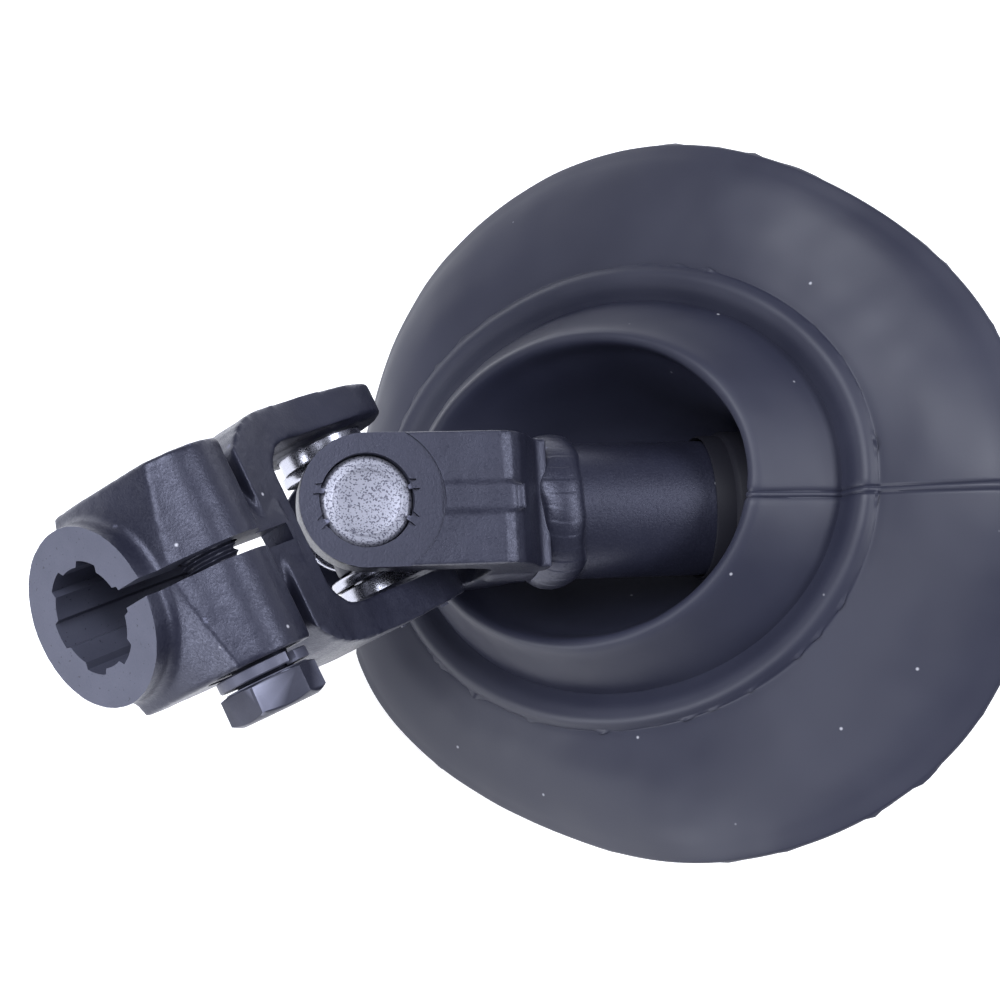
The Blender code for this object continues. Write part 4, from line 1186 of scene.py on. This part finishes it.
def joints():
    fork = clamp_fork("clamp_shape")
    finish_by(fork, [PAINT, BARE], bare_on_clamp)
    bolt = pinch_bolt("bolt_shape")
    washer = spring_washer("washer_shape")
    cross = spider("spider_shape")
    finish_by(cross, [OXIDE, GROUND], ground_on_spider)
    for end, axes in (("lower", LOWER_CLAMP), ("upper", UPPER_CLAMP)):
        body = end + "_clamp"
        dress(fork, body, axes, [], [body + "_yoke"], body + "_fork")
        dress(bolt, body, axes, [OXIDE], [end + "_pinch_bolt"], end + "_bolt")
        dress(washer, body, axes, [OXIDE], [end + "_lock_washer"], end + "_spring_washer")
        bearings(body, body, axes)
        pin = JOINTS[end + "_swing"]["axis"]
        clamp_pin = JOINTS[end + "_bend"]["axis"]
        middle = LOWER_CENTRE if end == "lower" else UPPER_CENTRE
        body = end + "_cross"
        dress(cross, body, axes_at(middle, clamp_pin, pin), [], [body], end + "_spider")
    put_away(fork, bolt, washer, cross)


def shaft():
    lower = tube_fork("lower_fork_shape", TUBE_RADIUS, 36.0, True)
    upper = tube_fork("upper_fork_shape", 11.6, 41.0, False)
    combine(upper, [rod("socket", 9.1, 29.0, 43.0, "X")], "DIFFERENCE", "MANIFOLD")
    smooth(upper)
    for fork in (lower, upper):
        finish_by(fork, [PAINT, BARE, EVEN_PAINT], bare_on_tube_fork)
    dress(lower, "shaft_tube", SHAFT, [], ["lower_tube_yoke"], "lower_fork")
    dress(upper, "sliding_shaft", UPPER_YOKE, [], ["upper_tube_yoke"], "upper_fork")
    bearings("lower_tube", "shaft_tube", SHAFT)
    bearings("upper_tube", "sliding_shaft", UPPER_YOKE)
    teeth = slip_shaft("toothed_shaft", 7.6, 8.8, 112.0, 270.7)
    pieces = [
        (weld("lower_weld_bead", TUBE_RADIUS, 36.0), "shaft_tube", SHAFT, "painted_steel", "lower_weld"),
        (outer_tube("drawn_tube"), "shaft_tube", SHAFT, "painted_steel", "outer_tube"),
        (tube_bush("tube_bush"), "shaft_tube", SHAFT, "black_nylon", "boot_bush"),
        (end_cap("wiper_cap", TUBE_END), "shaft_tube", SHAFT, "seal_rubber", "tube_end_seal"),
        (boot("moulded_boot"), "boot", SHAFT, "boot_rubber", "firewall_boot"),
        (teeth, "sliding_shaft", SHAFT, "bright_steel", "slip_shaft"),
        (weld("upper_weld_bead", 9.1, 45.8), "sliding_shaft", UPPER_YOKE, "painted_steel", "upper_weld"),
    ]
    for shape, body, axes, slot, node_name in pieces:
        dress(shape, body, axes, [SLOT_FINISH[slot]], [node_name], node_name + "_shown")
        put_away(shape)
    put_away(lower, upper)


# Studio


def camera():
    data = bpy.data.cameras.new("bench_camera")
    data.lens = CAMERA_LENS
    data.sensor_width = 36
    data.clip_start = 0.01
    data.clip_end = 20
    made = bpy.data.objects.new("bench_camera", data)
    bpy.context.scene.collection.objects.link(made)
    back = -CAMERA_SIGHT.normalized()
    right = CAMERA_UP.cross(back).normalized()
    up = back.cross(right)
    turn = Matrix((right, up, back)).transposed().to_4x4()
    made.matrix_world = SHAFT @ Matrix.Translation(CAMERA_AT) @ turn
    bpy.context.scene.camera = made


LAMP_COLOUR = (0.88, 0.91, 1.0)


def softbox(name, at, aim, size, watts):
    """A rectangular lamp that faces a point."""
    data = bpy.data.lights.new(name, "AREA")
    data.shape = "RECTANGLE"
    data.size = size[0]
    data.size_y = size[1]
    data.energy = watts
    data.color = LAMP_COLOUR
    made = bpy.data.objects.new(name, data)
    bpy.context.scene.collection.objects.link(made)
    made.location = at
    made.rotation_mode = "QUATERNION"
    made.rotation_quaternion = (Vector(at) - Vector(aim)).to_track_quat("Z", "Y")


def studio():
    scene = bpy.context.scene
    scene.view_settings.view_transform = "Standard"
    softbox("overhead_softbox", (-0.35, 0.25, 0.9), (-0.05, 0, 0.03), (0.45, 0.7), 9)
    softbox("side_softbox", (-0.9, -0.55, 0.5), (-0.08, 0, 0.03), (0.35, 0.6), 6)
    softbox("strip_softbox", (0.58, 0.05, 0.72), (-0.1, 0, 0.06), (0.9, 0.26), 7)
    world = bpy.data.worlds.new("studio")
    world.use_nodes = True
    scene.world = world
    tree = world.node_tree
    tree.nodes.clear()
    out = tree.nodes.new("ShaderNodeOutputWorld")
    dim = node(tree, "Background", {"Color": (0.80, 0.83, 1.0, 1), "Strength": 0.24})
    white = node(tree, "Background", {"Color": (1, 1, 1, 1), "Strength": 1.0})
    ray = tree.nodes.new("ShaderNodeLightPath")
    seen = ray.outputs["Is Camera Ray"]
    either = node(tree, "MixShader", {0: seen, 1: dim.outputs[0], 2: white.outputs[0]})
    tree.links.new(either.outputs[0], out.inputs["Surface"])


def bench():
    """The white bench. It adds its own white to what the camera sees, and keeps a soft shadow."""
    shape = bmesh.new()
    bmesh.ops.create_grid(shape, x_segments=1, y_segments=1, size=3000)
    made = as_object("bench", shape)
    made.location = (0, 0, -0.0002)
    material = bpy.data.materials.new("bench_white")
    material.use_nodes = True
    tree = material.node_tree
    shader = tree.nodes["Principled BSDF"]
    shader.inputs["Base Color"].default_value = (0.8, 0.8, 0.8, 1)
    shader.inputs["Roughness"].default_value = 0.9
    shader.inputs["Specular IOR Level"].default_value = 0.0
    ray = tree.nodes.new("ShaderNodeLightPath")
    seen = maths(tree, "ADD", ray.outputs["Is Camera Ray"], ray.outputs["Is Glossy Ray"], True)
    glow = node(tree, "Emission", {"Strength": maths(tree, "MULTIPLY", seen, 0.7)})
    both = node(tree, "AddShader", {0: shader.outputs[0], 1: glow.outputs[0]})
    tree.links.new(both.outputs[0], tree.nodes["Material Output"].inputs["Surface"])
    made.data.materials.append(material)


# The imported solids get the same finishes, for slip_bushing, which shows by itself.
for row in frame["record"]["subparts"]:
    solid = frame["nodes"][row["node"]]
    solid.data.materials.clear()
    solid.data.materials.append(SLOT_FINISH[row["material_slot"]])

joints()
shaft()
put_away(CUP_SHAPE, NEEDLE_SHAPE, CAN_SHAPE, LIP_SHAPE)
camera()
studio()
bench()
